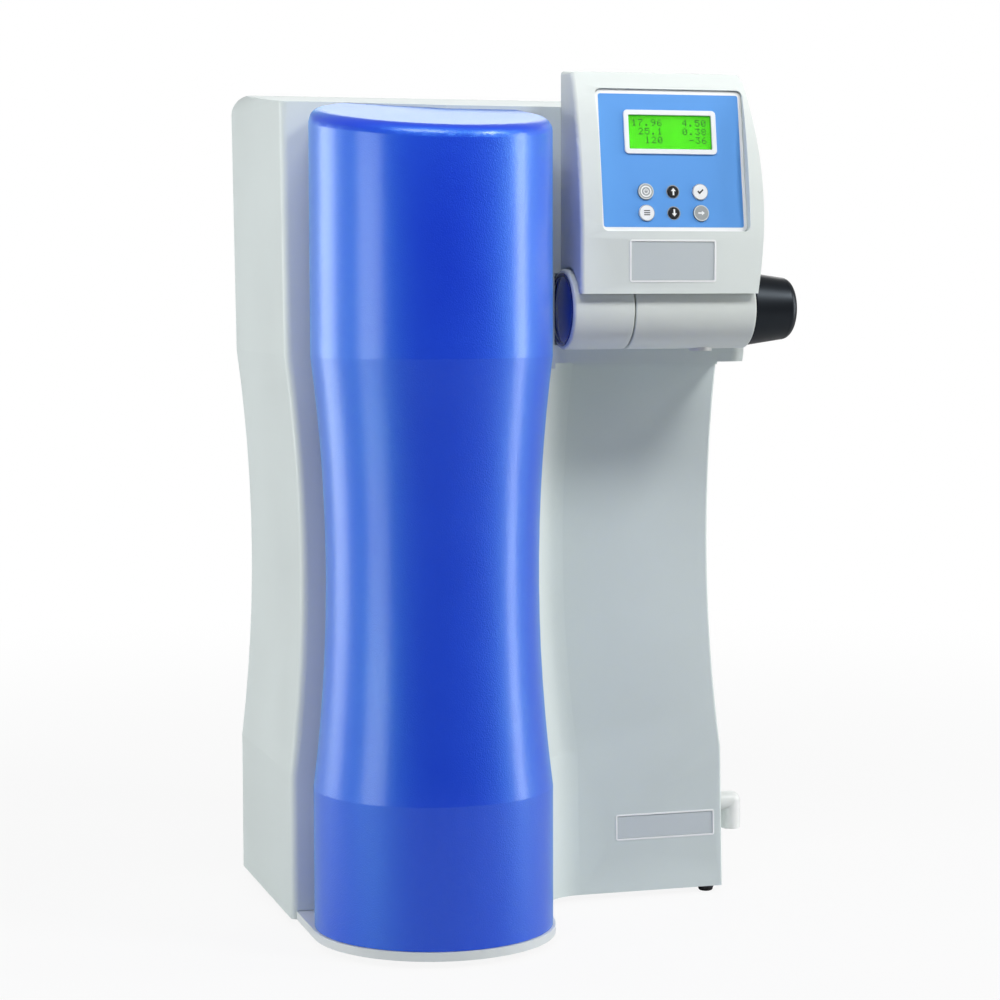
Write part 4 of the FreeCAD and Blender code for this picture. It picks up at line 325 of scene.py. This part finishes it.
def arrow(x, y, length, width, turn):
    """Plain arrow about a middle, turned from pointing up."""
    half, stem, neck = length / 2, width * 0.16, length * 0.06
    shape = [(-stem, -half), (stem, -half), (stem, neck), (width / 2, neck), (0, half),
             (-width / 2, neck), (-stem, neck)]
    cos, sin = math.cos(turn), math.sin(turn)
    return [(x + px * cos - py * sin, y + px * sin + py * cos) for px, py in shape]


def open_ring(x, y, outer, inner, gap, steps=32):
    """Ring with a gap at its top."""
    start, sweep = math.radians(90) + gap, math.tau - gap * 2
    angles = [start + sweep * step / steps for step in range(steps + 1)]
    return around(x, y, outer, angles) + around(x, y, inner, reversed(angles))


def tick(x, y, size):
    """Plain tick mark."""
    shape = [(-0.5, 0.02), (-0.34, 0.18), (-0.14, -0.04), (0.36, 0.42), (0.5, 0.26), (-0.14, -0.38)]
    return [(x + px * size, y + py * size) for px, py in shape]


def flat_piece(name, body, finish, loops, low, high, place=PANEL, edge=0.0):
    """Sheet with closed outlines in millimetres, inner ones cut out, between two heights."""
    curve = bpy.data.curves.new(name, "CURVE")
    curve.dimensions = "2D"
    curve.fill_mode = "BOTH"
    curve.extrude = ((high - low) / 2 - edge) * MM
    curve.bevel_depth = edge * MM
    curve.bevel_resolution = 2
    for loop in loops:
        spline = curve.splines.new("POLY")
        spline.points.add(len(loop) - 1)
        for point, (x, y) in zip(spline.points, loop):
            point.co = (x * MM, y * MM, 0, 1)
        spline.use_cyclic_u = True
    holder = bpy.data.objects.new(name, curve)
    mesh = bpy.data.meshes.new_from_object(holder)
    bpy.data.objects.remove(holder)
    bpy.data.curves.remove(curve)
    mesh.transform(place @ Matrix.Translation((0, 0, (low + high) / 2 * MM)))
    return enter(name, mesh, body, finish)


def enter(name, mesh, body, finish):
    """Put a finished mesh in the scene, riding on a body."""
    mesh.name = name
    mesh.materials.clear()
    mesh.materials.append(paint(finish))
    piece = bpy.data.objects.new(name, mesh)
    bpy.context.scene.collection.objects.link(piece)
    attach(piece, body)
    return piece


def turned_piece(name, body, finish, line, middle, steps=96):
    """Piece turned about the barrels' line from a closed outline of places along it and radii."""
    work = bmesh.new()
    rings = []
    for along, radius in line:
        if radius == 0:
            rings.append([work.verts.new(middle + Vector((along * MM, 0, 0)))])
            continue
        ring = []
        for step in range(steps):
            angle = math.tau * step / steps
            across = Vector((along, radius * math.cos(angle), radius * math.sin(angle)))
            ring.append(work.verts.new(middle + across * MM))
        rings.append(ring)
    for first, second in zip(rings, rings[1:] + rings[:1]):
        if len(first) + len(second) == 2:
            continue
        for step in range(steps):
            after = (step + 1) % steps
            corners = [first[step % len(first)], first[after % len(first)],
                       second[after % len(second)], second[step % len(second)]]
            work.faces.new(list(dict.fromkeys(corners)))
    bmesh.ops.recalc_face_normals(work, faces=work.faces)
    mesh = bpy.data.meshes.new(name)
    work.to_mesh(mesh)
    work.free()
    for face in mesh.polygons:
        face.use_smooth = True
    mesh.set_sharp_from_angle(angle=SHARP_ANGLE)
    enter(name, mesh, body, finish)


def front_of(node):
    """Placement and size of a plate's front face, from its lower left corner."""
    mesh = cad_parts[node].data
    face = max((item for item in mesh.polygons if item.normal.y < -0.9), key=lambda item: item.area)
    level = Vector((1, 0, 0))
    upward = face.normal.cross(level).normalized()
    if upward.z < 0:
        upward = -upward
    facing = [item for item in mesh.polygons if item.normal.dot(face.normal) > 0.999]
    places = [mesh.vertices[index].co for item in facing for index in item.vertices
              if abs((mesh.vertices[index].co - face.center).dot(face.normal)) < SAME_PLANE]
    across = [place.x for place in places]
    rise = [(place - face.center).dot(upward) for place in places]
    corner = face.center + upward * min(rise)
    corner.x = min(across)
    turn = Matrix((level, upward, level.cross(upward))).transposed().to_4x4()
    width, height = (max(span) - min(span) for span in (across, rise))
    return Matrix.Translation(corner) @ turn, width / MM, height / MM


# Frame nodes


def dress(nodes, finish, bevel=0.0):
    """Give a finish to frame nodes, with softly broken edges where asked."""
    for name in nodes:
        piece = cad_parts[name]
        piece.data.materials.clear()
        piece.data.materials.append(paint(finish))
        if bevel > 0:
            soften(piece, bevel)


def soften(piece, width):
    """Break the edges of a frame node by a width."""
    modifier = piece.modifiers.new("edges", "BEVEL")
    modifier.width = width
    modifier.segments = 2
    modifier.limit_method = "ANGLE"
    modifier.angle_limit = BEVEL_ANGLE
    modifier.harden_normals = True


# Painted highlight round a bare plate, a white line standing in for the light on its edge: how far
# its outer and inner outlines stand off, their corner radii, and its bottom, top and broken edge,
# all in millimetres
PLATE_HIGHLIGHT_OFF = (1.3, 0.35)
PLATE_HIGHLIGHT_CORNERS = (1.6, 0.5)
PLATE_HIGHLIGHT_HEIGHTS = (-0.4, 0.45)
PLATE_HIGHLIGHT_EDGE = 0.1


def paint_plate_highlight(name, node, body):
    """Thin white line round a bare plate, a painted highlight of its lit edge."""
    place, width, height = front_of(node)
    loops = [rounded(-off, -off, width + off, height + off, corner)
             for off, corner in zip(PLATE_HIGHLIGHT_OFF, PLATE_HIGHLIGHT_CORNERS)]
    flat_piece(name, body, "ink_white", loops, *PLATE_HIGHLIGHT_HEIGHTS, place, PLATE_HIGHLIGHT_EDGE)


# Operating panel: places across and down it, in millimetres. A key has its middle and its radius,
# an outline its low and high corner and its corner radius.

KEYS = {
    "power_key": (31.0, -64.9, 5.1),
    "up_key": (49.1, -64.9, 3.6),
    "confirm_key": (67.2, -64.9, 5.1),
    "menu_key": (31.0, -78.4, 5.1),
    "down_key": (49.1, -78.4, 3.6),
    "lamp_key": (67.2, -78.4, 5.1),
}
KEY_TOP = 1.8
KEY_GAP = 0.25
LABEL_TOP = 0.8
LABEL_EDGE = 0.08
INK = 0.06

LABEL_OUTLINE = (2.55, -87.3, 95.65, -3.1, 1.4)
LABEL_WINDOW = (20.4, -39.2, 77.8, -15.2, 1.0)
# White rim round the label, a painted highlight on the recess floor: outer and inner outline,
# heights and broken edge
RIM_OUTER = (0.5, -90.1, 97.7, -0.5, 4.0)
RIM_INNER = (2.5, -87.35, 95.7, -3.05, 1.5)
RIM_HEIGHTS = (-0.02, 0.75)
RIM_EDGE = 0.12

FRAME_OUTER = (18.76, -40.8, 79.44, -13.6, 2.3)
FRAME_INNER = (21.26, -38.3, 76.94, -16.1, 0.9)
FRAME_TOP = 2.0
FRAME_EDGE = 0.3
# Inner outline and heights of the darker green ring painted as shade round the display's edges
SCREEN_SHADE_INNER = (21.9, -37.7, 76.3, -16.7, 0.8)
SCREEN_SHADE_HEIGHTS = (0.62, 0.9)
NUMERAL_HEIGHTS = (0.61, 0.66)

# Rings on the keys and the label: outer and inner radius
PALE_RING = (5.0, 4.45)
GREY_RING = (5.0, 4.7)
LABEL_RING = (4.35, 3.85)
POWER_BAND = (3.6, 2.75)

# Signs: the power sign's ring has its radii and half its gap's angle, its stem half its width and
# its two ends, an arrow its length and width, the bars half their length and thickness and a pitch
POWER_SIGN = (1.75, 1.15, 0.6)
POWER_STEM = (0.3, 0.3, 2.1)
STEM_CORNER = 0.25
UP_ARROW = (4.6, 3.4)
SIDE_ARROW = (4.4, 2.8)
TICK_SIZE = 4.2
BAR = (2.0, 0.3)
BAR_CORNER = 0.2
BAR_PITCH = 1.3

# Dot rows of the numerals on the display, seven rows of five, a dot for each filled place.
NUMERALS = {
    "0": ".###. #...# #..## #.#.# ##..# #...# .###.",
    "1": "..#.. .##.. ..#.. ..#.. ..#.. ..#.. .###.",
    "2": ".###. #...# ....# ...#. ..#.. .#... #####",
    "3": "##### ...#. ..#.. ...#. ....# #...# .###.",
    "4": "...#. ..##. .#.#. #..#. ##### ...#. ...#.",
    "5": "##### #.... ####. ....# ....# #...# .###.",
    "6": "..##. .#... #.... ####. #...# #...# .###.",
    "7": "##### ....# ...#. ..#.. .#... .#... .#...",
    "8": ".###. #...# #...# .###. #...# #...# .###.",
    "9": ".###. #...# #...# .#### ....# ...#. .##..",
    ".": "..... ..... ..... ..... ..... .##.. .##..",
    "-": "..... ..... ..... ##### ..... ..... .....",
}
READINGS = ("17.96   4.50", " 25.1   0.38", "  120    -36")
CELLS_A_MARK = 7
DOT_PITCH = (0.6, 0.6)
DOT_SHARE = 0.9
ROW_DROP = 5.5
SCREEN_PLACE = (24.2, -19.0)


def screen_dots():
    """Outlines of the display's filled dots."""
    loops = []
    across, down = DOT_PITCH
    wide, high = across * DOT_SHARE, down * DOT_SHARE
    for row, reading in enumerate(READINGS):
        for column, mark in enumerate(reading):
            if mark == " ":
                continue
            for line, cells in enumerate(NUMERALS[mark].split()):
                for cell, state in enumerate(cells):
                    if state == "#":
                        x = SCREEN_PLACE[0] + (column * CELLS_A_MARK + cell) * across
                        y = SCREEN_PLACE[1] - row * ROW_DROP - line * down
                        loops.append([(x, y - high), (x + wide, y - high), (x + wide, y), (x, y)])
    return loops


def make_screen():
    """Display frame with round corners, a darker green ring painted as shade inside it, and the
    numerals.
    """
    inner = rounded(*FRAME_INNER)
    bezel = flat_piece("screen_frame", "head", "bezel_white", [rounded(*FRAME_OUTER), inner],
                       LABEL_TOP, FRAME_TOP, edge=FRAME_EDGE)
    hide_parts("lcd_bezel")
    # Darker green ring painted as shade at the display's edges
    flat_piece("screen_edge_shade", "head", "gasket_green", [inner, rounded(*SCREEN_SHADE_INNER)],
               *SCREEN_SHADE_HEIGHTS)
    flat_piece("screen_numerals", "head", "ink_screen", screen_dots(), *NUMERAL_HEIGHTS)


def ring_on(name, body, finish, key, radii, top=KEY_TOP):
    """Printed ring about a key's middle."""
    x, y, _ = KEYS[key]
    flat_piece(name, body, finish, [circle(x, y, radius) for radius in radii], top, top + INK)


def mark_on(name, key, finish, loops):
    """Printed sign on a key."""
    flat_piece(name, key, finish, loops, KEY_TOP, KEY_TOP + INK)


def make_key_marks():
    """Plain rings and signs on the keys."""
    for key in ("power_key", "lamp_key"):
        ring_on(key + "_ring", key, "ink_pale", key, PALE_RING)
    for key in ("confirm_key", "menu_key"):
        ring_on(key + "_ring", key, "key_grey", key, GREY_RING)
    for key, turn in (("up_key", 0.0), ("down_key", math.pi)):
        ring_on(key + "_ring", "head", "key_grey", key, LABEL_RING, LABEL_TOP)
        x, y, _ = KEYS[key]
        mark_on(key + "_arrow", key, "ink_white", [arrow(x, y, *UP_ARROW, turn)])
    x, y, _ = KEYS["power_key"]
    ring_on("power_key_band", "power_key", "ink_white", "power_key", POWER_BAND)
    half, low, high = POWER_STEM
    stem = rounded(x - half, y + low, x + half, y + high, STEM_CORNER, 3)
    mark_on("power_key_sign", "power_key", "ink_white", [open_ring(x, y, *POWER_SIGN), stem])
    x, y, _ = KEYS["lamp_key"]
    mark_on("lamp_key_arrow", "lamp_key", "ink_white", [arrow(x, y, *SIDE_ARROW, -math.pi / 2)])
    x, y, _ = KEYS["confirm_key"]
    mark_on("confirm_key_tick", "confirm_key", "key_black", [tick(x, y, TICK_SIZE)])
    x, y, _ = KEYS["menu_key"]
    half, thick = BAR
    bars = [rounded(x - half, y + rise - thick, x + half, y + rise + thick, BAR_CORNER, 3)
            for rise in (-BAR_PITCH, 0.0, BAR_PITCH)]
    mark_on("menu_key_bars", "menu_key", "key_black", bars)


def make_label():
    """Blue label with its openings, and the white rim between it and the edge of the recess, a
    painted highlight standing in for the light on the recess floor.
    """
    holes = [circle(x, y, radius + KEY_GAP) for x, y, radius in KEYS.values()]
    loops = [rounded(*LABEL_OUTLINE), rounded(*LABEL_WINDOW), *holes]
    sheet = flat_piece("label_sheet", "head", "label_blue", loops, 0.0, LABEL_TOP, edge=LABEL_EDGE)
    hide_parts("panel_label")
    # White rim painted as the highlight on the recess floor round the label
    flat_piece("label_rim_highlight", "head", "ink_white", [rounded(*RIM_OUTER), rounded(*RIM_INNER)],
               *RIM_HEIGHTS, edge=RIM_EDGE)


# Left end of the barrels' line. The end cap's pieces are outlines of places along the line, from
# there, and of radii, in millimetres.

BARREL_END = Vector((0.00895, -0.0652, 0.3926))
DOME_RADIUS = 20.55
DOME_RIM = 0.7
DOME_START = 0.45
DOME_RISE = 1.7
DOME_BACK = 0.95
DOME_STEPS = 8
COLLAR = [(0.3, 20.95), (-0.35, 21.15), (-0.6, 21.7), (-0.6, 22.5), (-0.35, 23.0),
          (0.02, 23.2), (0.02, 20.95)]


def make_cap_face():
    """Domed blue face of the end cap and the collar round it, the collar painted a deeper blue as
    the shade of the recess.
    """
    line = [(DOME_RIM, DOME_RADIUS)]
    for step in range(1, DOME_STEPS + 1):
        share = 1 - step / DOME_STEPS
        line.append((DOME_START - DOME_RISE * (1 - share ** 2), DOME_RADIUS * share))
    line += [(DOME_BACK, 0.0), (DOME_BACK, DOME_RADIUS)]
    turned_piece("cap_dome", "head", "cap_blue", line, BARREL_END)
    # Collar in a deeper blue, painted shade of the recess round the dome
    turned_piece("cap_collar", "head", "cap_deep", COLLAR, BARREL_END)


# Round front corner of the housing beside the head: side wall at each height, in millimetres,
# below and above the trough of the barrels

CORNER_RUNS = {"corner_strip_low": ((360.2, 139.75), (364.4, 140.25), (370.6, 140.32)),
               "corner_strip": ((414.8, 140.85), (466.0, 141.46), (518.6, 142.09))}
CORNER_RADIUS = 12.0
STRIP_DEPTHS = (0.03, 1.8)
STRIP_START = -60
STRIP_STEP = 3
STRIP_STEPS = 10
FRONT_WALL = -53.2


def make_corner_strip(name, run):
    """Strip that backs the thin wall of the round corner, just under its surface."""
    outer, inner = (CORNER_RADIUS - depth for depth in STRIP_DEPTHS)
    angles = [math.radians(STRIP_START + STRIP_STEP * step) for step in range(STRIP_STEPS + 1)]
    centre = FRONT_WALL + CORNER_RADIUS
    work = bmesh.new()
    rows = []
    for z, side in run:
        section = (around(side - CORNER_RADIUS, centre, outer, angles)
                   + around(side - CORNER_RADIUS, centre, inner, reversed(angles)))
        rows.append([work.verts.new(Vector((x, y, z)) * MM) for x, y in section])
    for low, high in zip(rows, rows[1:]):
        for index in range(len(low)):
            work.faces.new((low[index - 1], low[index], high[index], high[index - 1]))
    work.faces.new(rows[0])
    work.faces.new(rows[-1])
    bmesh.ops.recalc_face_normals(work, faces=work.faces)
    mesh = bpy.data.meshes.new(name)
    work.to_mesh(mesh)
    work.free()
    enter(name, mesh, "housing", "housing_grey")


# Panel sections of the add-on


class WaterSettings(bpy.types.PropertyGroup):
    """Sizes and levels shared by the pieces."""

    edge_width: bpy.props.FloatProperty(
        name="Edge width", description="Width of the broken edges on moulded pieces",
        default=0.0004, unit="LENGTH", subtype="DISTANCE")
    key_light: bpy.props.FloatProperty(
        name="Key light", description="Power of the main softbox in watts", default=26.0)
    floor_size: bpy.props.FloatProperty(
        name="Floor size", description="Side of the pale floor",
        default=3.2, unit="LENGTH", subtype="DISTANCE")


class WATER_OT_housing(bpy.types.Operator):
    """Dress the housing, tray and rear panel"""

    bl_idname = "water.housing"
    bl_label = "Housing"

    def execute(self, context):
        settings = context.scene.water
        dress(["housing_shell"], "housing_grey")
        dress(["rear_panel"], "panel_zinc", settings.edge_width)
        dress(["base_tray"], "tray_grey", settings.edge_width)
        dress(["column_plate"], "plate_pale")
        # White line painted round the column plate as the highlight on its edge
        paint_plate_highlight("column_plate_highlight", "column_plate", "housing")
        for name, run in CORNER_RUNS.items():
            make_corner_strip(name, run)
        dress(["rear_screws", "tray_screws", "cover_magnets"], "screw_steel")
        dress(["feet"], "foot_rubber")
        dress(["rear_ports"], "fitting_grey")
        dress(["side_elbow"], "nozzle_white")
        dress(["power_inlet"], "knob_black")
        return {"FINISHED"}


class WATER_OT_cover(bpy.types.Operator):
    """Dress the front cover and the cartridge behind it"""

    bl_idname = "water.cover"
    bl_label = "Cover and cartridge"

    def execute(self, context):
        dress(["front_cover"], "cover_blue")
        dress(["cartridge"], "cartridge_white")
        dress(["cartridge_couplings", "cartridge_clips"], "fitting_grey")
        return {"FINISHED"}


class WATER_OT_head(bpy.types.Operator):
    """Dress the display head"""

    bl_idname = "water.head"
    bl_label = "Display head"

    def execute(self, context):
        dress(["head_front_shell", "head_back_cover"], "head_grey", context.scene.water.edge_width)
        dress(["head_plate"], "plate_pale")
        # White line painted round the head plate as the highlight on its edge
        paint_plate_highlight("head_plate_highlight", "head_plate", "head")
        dress(["head_screws"], "screw_steel")
        dress(["panel_label"], "label_blue")
        make_label()
        make_screen()
        make_key_marks()
        dress(["lcd_bezel"], "bezel_white")
        dress(["lcd_window"], "screen_clear")
        dress(["display_module"], "display_green")
        dress(["key_board"], "board_green")
        dress(["power_key", "lamp_key"], "key_grey")
        dress(["confirm_key", "menu_key"], "key_white")
        dress(["up_key", "down_key"], "key_black")
        return {"FINISHED"}


class WATER_OT_valve(bpy.types.Operator):
    """Dress the barrels, the dispensing valve and its knob"""

    bl_idname = "water.valve"
    bl_label = "Barrels and knob"

    def execute(self, context):
        dress(["left_barrel", "valve_barrel"], "barrel_grey")
        dress(["barrel_end_cap"], "cap_blue")
        make_cap_face()
        dress(["dispensing_knob"], "knob_black")
        dress(["outlet_nozzle", "valve_seats"], "nozzle_white")
        dress(["valve_gland"], "fitting_grey")
        dress(["valve_plug", "valve_spindle", "hinge_axle", "knob_screw", "barrel_screws"], "steel")
        return {"FINISHED"}


class WATER_OT_inside(bpy.types.Operator):
    """Dress the works inside the housing"""

    bl_idname = "water.inside"
    bl_label = "Inner works"

    def execute(self, context):
        dress(["chassis_plate", "pump_rotor", "uv_chamber"], "steel")
        dress(["pump_motor", "solenoid_valve"], "motor_black")
        dress(["pump_head"], "brass")
        dress(["motor_cradle"], "foot_rubber")
        dress(["filter_capsule"], "cartridge_white")
        dress(["uv_lamp"], "lamp_glass")
        dress(["vessel_clamps", "flow_manifold"], "fitting_grey")
        dress(["power_supply"], "panel_zinc")
        dress(["controller_board"], "board_green")
        dress(["outlet_tube", "feed_tube", "filter_tube", "pump_tube", "uv_tube"], "tube_natural")
        return {"FINISHED"}


# Stage: each lamp has its place, what it is aimed at, its size and its share of the key light

LAMPS = {
    "left_box": ((-1.55, 1.05, 0.3), (-0.15, 0, 0.25), (0.8, 1.2), 0.58),
    "side_box": ((-1.85, -0.6, 0.3), (-0.1, 0, 0.2), (0.8, 0.8), 0.44),
    "right_box": ((1.85, -0.5, 0.6), (0, 0, 0.28), (0.45, 1.4), 0.74),
    "back_box": ((0.9, 2.4, 1.5), (0, 0, 0.5), (1.6, 0.8), 0.34),
    "over_box": ((-0.25, -0.6, 1.1), (-0.05, -0.05, 0.45), (0.5, 0.3), 0.18),
    "front_box": ((1.2, -1.2, 1.8), (0.1, 0, 0.5), (0.5, 0.5), 0.86),
}
SURROUND_LEVEL = 0.36
SURROUND_FRONT_SHARE = 0.05
SURROUND_TURN = (-0.7, 0.6)
FLOOR_COLOUR = linear(205, 205, 205)
FLOOR_NEAR = 0.4
FLOOR_FAR = 1.6
FLOOR_GLOW = 0.9

# Camera worked out from the photograph's vanishing lines: turns to the right, down and about its
# own line in degrees, its place in metres, its film and lens in millimetres
CAMERA_TURNS = (16.331, 4.617, -0.128)
CAMERA_PLACE = (-0.49395, -1.6420, 0.4059)
CAMERA_FILM = 36.0
CAMERA_LENS = 94.32
CAMERA_REACH = 60.0


def softbox(name, place, aim, size, power):
    """Soft rectangular lamp aimed at a point."""
    data = bpy.data.lights.new(name, "AREA")
    data.shape = "RECTANGLE"
    data.size, data.size_y = size
    data.energy = power
    lamp = bpy.data.objects.new(name, data)
    lamp.location = place
    lamp.rotation_euler = (Vector(aim) - Vector(place)).to_track_quat("-Z", "Y").to_euler()
    bpy.context.scene.collection.objects.link(lamp)


def photo_camera():
    """Camera at the photograph's angle."""
    yaw, pitch, roll = (math.radians(angle) for angle in CAMERA_TURNS)
    reach = math.cos(pitch)
    forward = Vector((math.sin(yaw) * reach, math.cos(yaw) * reach, -math.sin(pitch)))
    level = Vector((math.cos(yaw), -math.sin(yaw), 0))
    upward = level.cross(forward)
    right = math.cos(roll) * level + math.sin(roll) * upward
    up = math.cos(roll) * upward - math.sin(roll) * level
    data = bpy.data.cameras.new("photo_camera")
    data.sensor_width = CAMERA_FILM
    data.lens = CAMERA_LENS
    data.clip_end = CAMERA_REACH
    camera = bpy.data.objects.new("photo_camera", data)
    turn = Matrix((right, up, -forward)).transposed().to_4x4()
    camera.matrix_world = Matrix.Translation(CAMERA_PLACE) @ turn
    bpy.context.scene.collection.objects.link(camera)
    bpy.context.scene.camera = camera


def either(tree, first, second):
    """One where either ray kind is met."""
    node = add(tree, "ShaderNodeMath", operation="MAXIMUM")
    tree.links.new(first, node.inputs[0])
    tree.links.new(second, node.inputs[1])
    return node.outputs[0]


def smooth_range(tree, source, start, end, low, high):
    """Pass smoothly from one level to another as a source goes from start to end."""
    node = add(tree, "ShaderNodeMapRange", interpolation_type="SMOOTHSTEP")
    for name, value in (("From Min", start), ("From Max", end), ("To Min", low), ("To Max", high)):
        node.inputs[name].default_value = value
    tree.links.new(source, node.inputs["Value"])
    return node.outputs["Result"]


def studio_world():
    """Soft surroundings, darker in front, and pure white behind where the camera looks past."""
    world = bpy.data.worlds.new("studio")
    bpy.context.scene.world = world
    world.use_nodes = True
    tree = world.node_tree
    tree.nodes.clear()
    path = add(tree, "ShaderNodeLightPath")
    place = add(tree, "ShaderNodeTexCoord")
    axes = add(tree, "ShaderNodeSeparateXYZ")
    tree.links.new(place.outputs["Generated"], axes.inputs[0])
    depth = smooth_range(tree, axes.outputs["Y"], *SURROUND_TURN, SURROUND_FRONT_SHARE, 1.0)
    level = add(tree, "ShaderNodeMath", operation="MULTIPLY")
    tree.links.new(depth, level.inputs[0])
    level.inputs[1].default_value = SURROUND_LEVEL
    soft = add(tree, "ShaderNodeBackground", Color=(1, 1, 1, 1))
    tree.links.new(level.outputs[0], soft.inputs["Strength"])
    bright = add(tree, "ShaderNodeBackground", Color=(1, 1, 1, 1), Strength=1.0)
    seen = either(tree, path.outputs["Is Camera Ray"], path.outputs["Is Transmission Ray"])
    choice = add(tree, "ShaderNodeMixShader")
    out = add(tree, "ShaderNodeOutputWorld")
    tree.links.new(seen, choice.inputs[0])
    tree.links.new(soft.outputs[0], choice.inputs[1])
    tree.links.new(bright.outputs[0], choice.inputs[2])
    tree.links.new(choice.outputs[0], out.inputs["Surface"])


def floor_material():
    """Pale floor that fades into the white surroundings and keeps the object's shadow."""
    material = moulded("floor_pale", FLOOR_COLOUR, rough=0.8, grain=200.0, wear=0.0, blotch=0.01)
    tree = material.node_tree
    surface = tree.nodes["Principled BSDF"]
    out = tree.nodes["Material Output"]
    place = add(tree, "ShaderNodeTexCoord")
    distance = add(tree, "ShaderNodeVectorMath", operation="LENGTH")
    tree.links.new(place.outputs["Object"], distance.inputs[0])
    fade = smooth_range(tree, distance.outputs["Value"], FLOOR_NEAR, FLOOR_FAR, FLOOR_GLOW, 1.0)
    path = add(tree, "ShaderNodeLightPath")
    share = add(tree, "ShaderNodeMath", operation="MULTIPLY")
    tree.links.new(fade, share.inputs[0])
    tree.links.new(path.outputs["Is Camera Ray"], share.inputs[1])
    glow = add(tree, "ShaderNodeEmission", Color=(1, 1, 1, 1), Strength=1.0)
    choice = add(tree, "ShaderNodeMixShader")
    tree.links.new(share.outputs[0], choice.inputs[0])
    tree.links.new(surface.outputs[0], choice.inputs[1])
    tree.links.new(glow.outputs[0], choice.inputs[2])
    tree.links.new(choice.outputs[0], out.inputs["Surface"])
    return material


class WATER_OT_stage(bpy.types.Operator):
    """Set up the pale floor, the soft lights and the camera"""

    bl_idname = "water.stage"
    bl_label = "Stage"

    def execute(self, context):
        settings = context.scene.water
        half = settings.floor_size / 2
        corners = [(-half, -half, 0), (half, -half, 0), (half, half, 0), (-half, half, 0)]
        mesh = bpy.data.meshes.new("floor")
        mesh.from_pydata(corners, [], [(0, 1, 2, 3)])
        floor = bpy.data.objects.new("floor", mesh)
        mesh.materials.append(floor_material())
        context.scene.collection.objects.link(floor)
        studio_world()
        for name, (place, aim, size, share) in LAMPS.items():
            softbox(name, place, aim, size, settings.key_light * share)
        photo_camera()
        context.scene.view_settings.view_transform = "Standard"
        return {"FINISHED"}


class WATER_PT_panel(bpy.types.Panel):
    """Buttons for the pieces of the water system"""

    bl_idname = "WATER_PT_panel"
    bl_label = "Water system"
    bl_space_type = "VIEW_3D"
    bl_region_type = "UI"
    bl_category = "Water system"

    def draw(self, context):
        layout = self.layout
        settings = context.scene.water
        for name in ("edge_width", "key_light", "floor_size"):
            layout.prop(settings, name)
        for operator in OPERATORS:
            layout.operator(operator.bl_idname)


OPERATORS = (WATER_OT_housing, WATER_OT_cover, WATER_OT_head, WATER_OT_valve, WATER_OT_inside,
             WATER_OT_stage)
CLASSES = (WaterSettings, *OPERATORS, WATER_PT_panel)


def register():
    for item in CLASSES:
        bpy.utils.register_class(item)
    bpy.types.Scene.water = bpy.props.PointerProperty(type=WaterSettings)


def unregister():
    del bpy.types.Scene.water
    for item in reversed(CLASSES):
        bpy.utils.unregister_class(item)


def main():
    """Dress every piece in order."""
    register()
    bpy.ops.water.housing()
    bpy.ops.water.cover()
    bpy.ops.water.head()
    bpy.ops.water.valve()
    bpy.ops.water.inside()
    bpy.ops.water.stage()


if __name__ == "__main__":
    main()
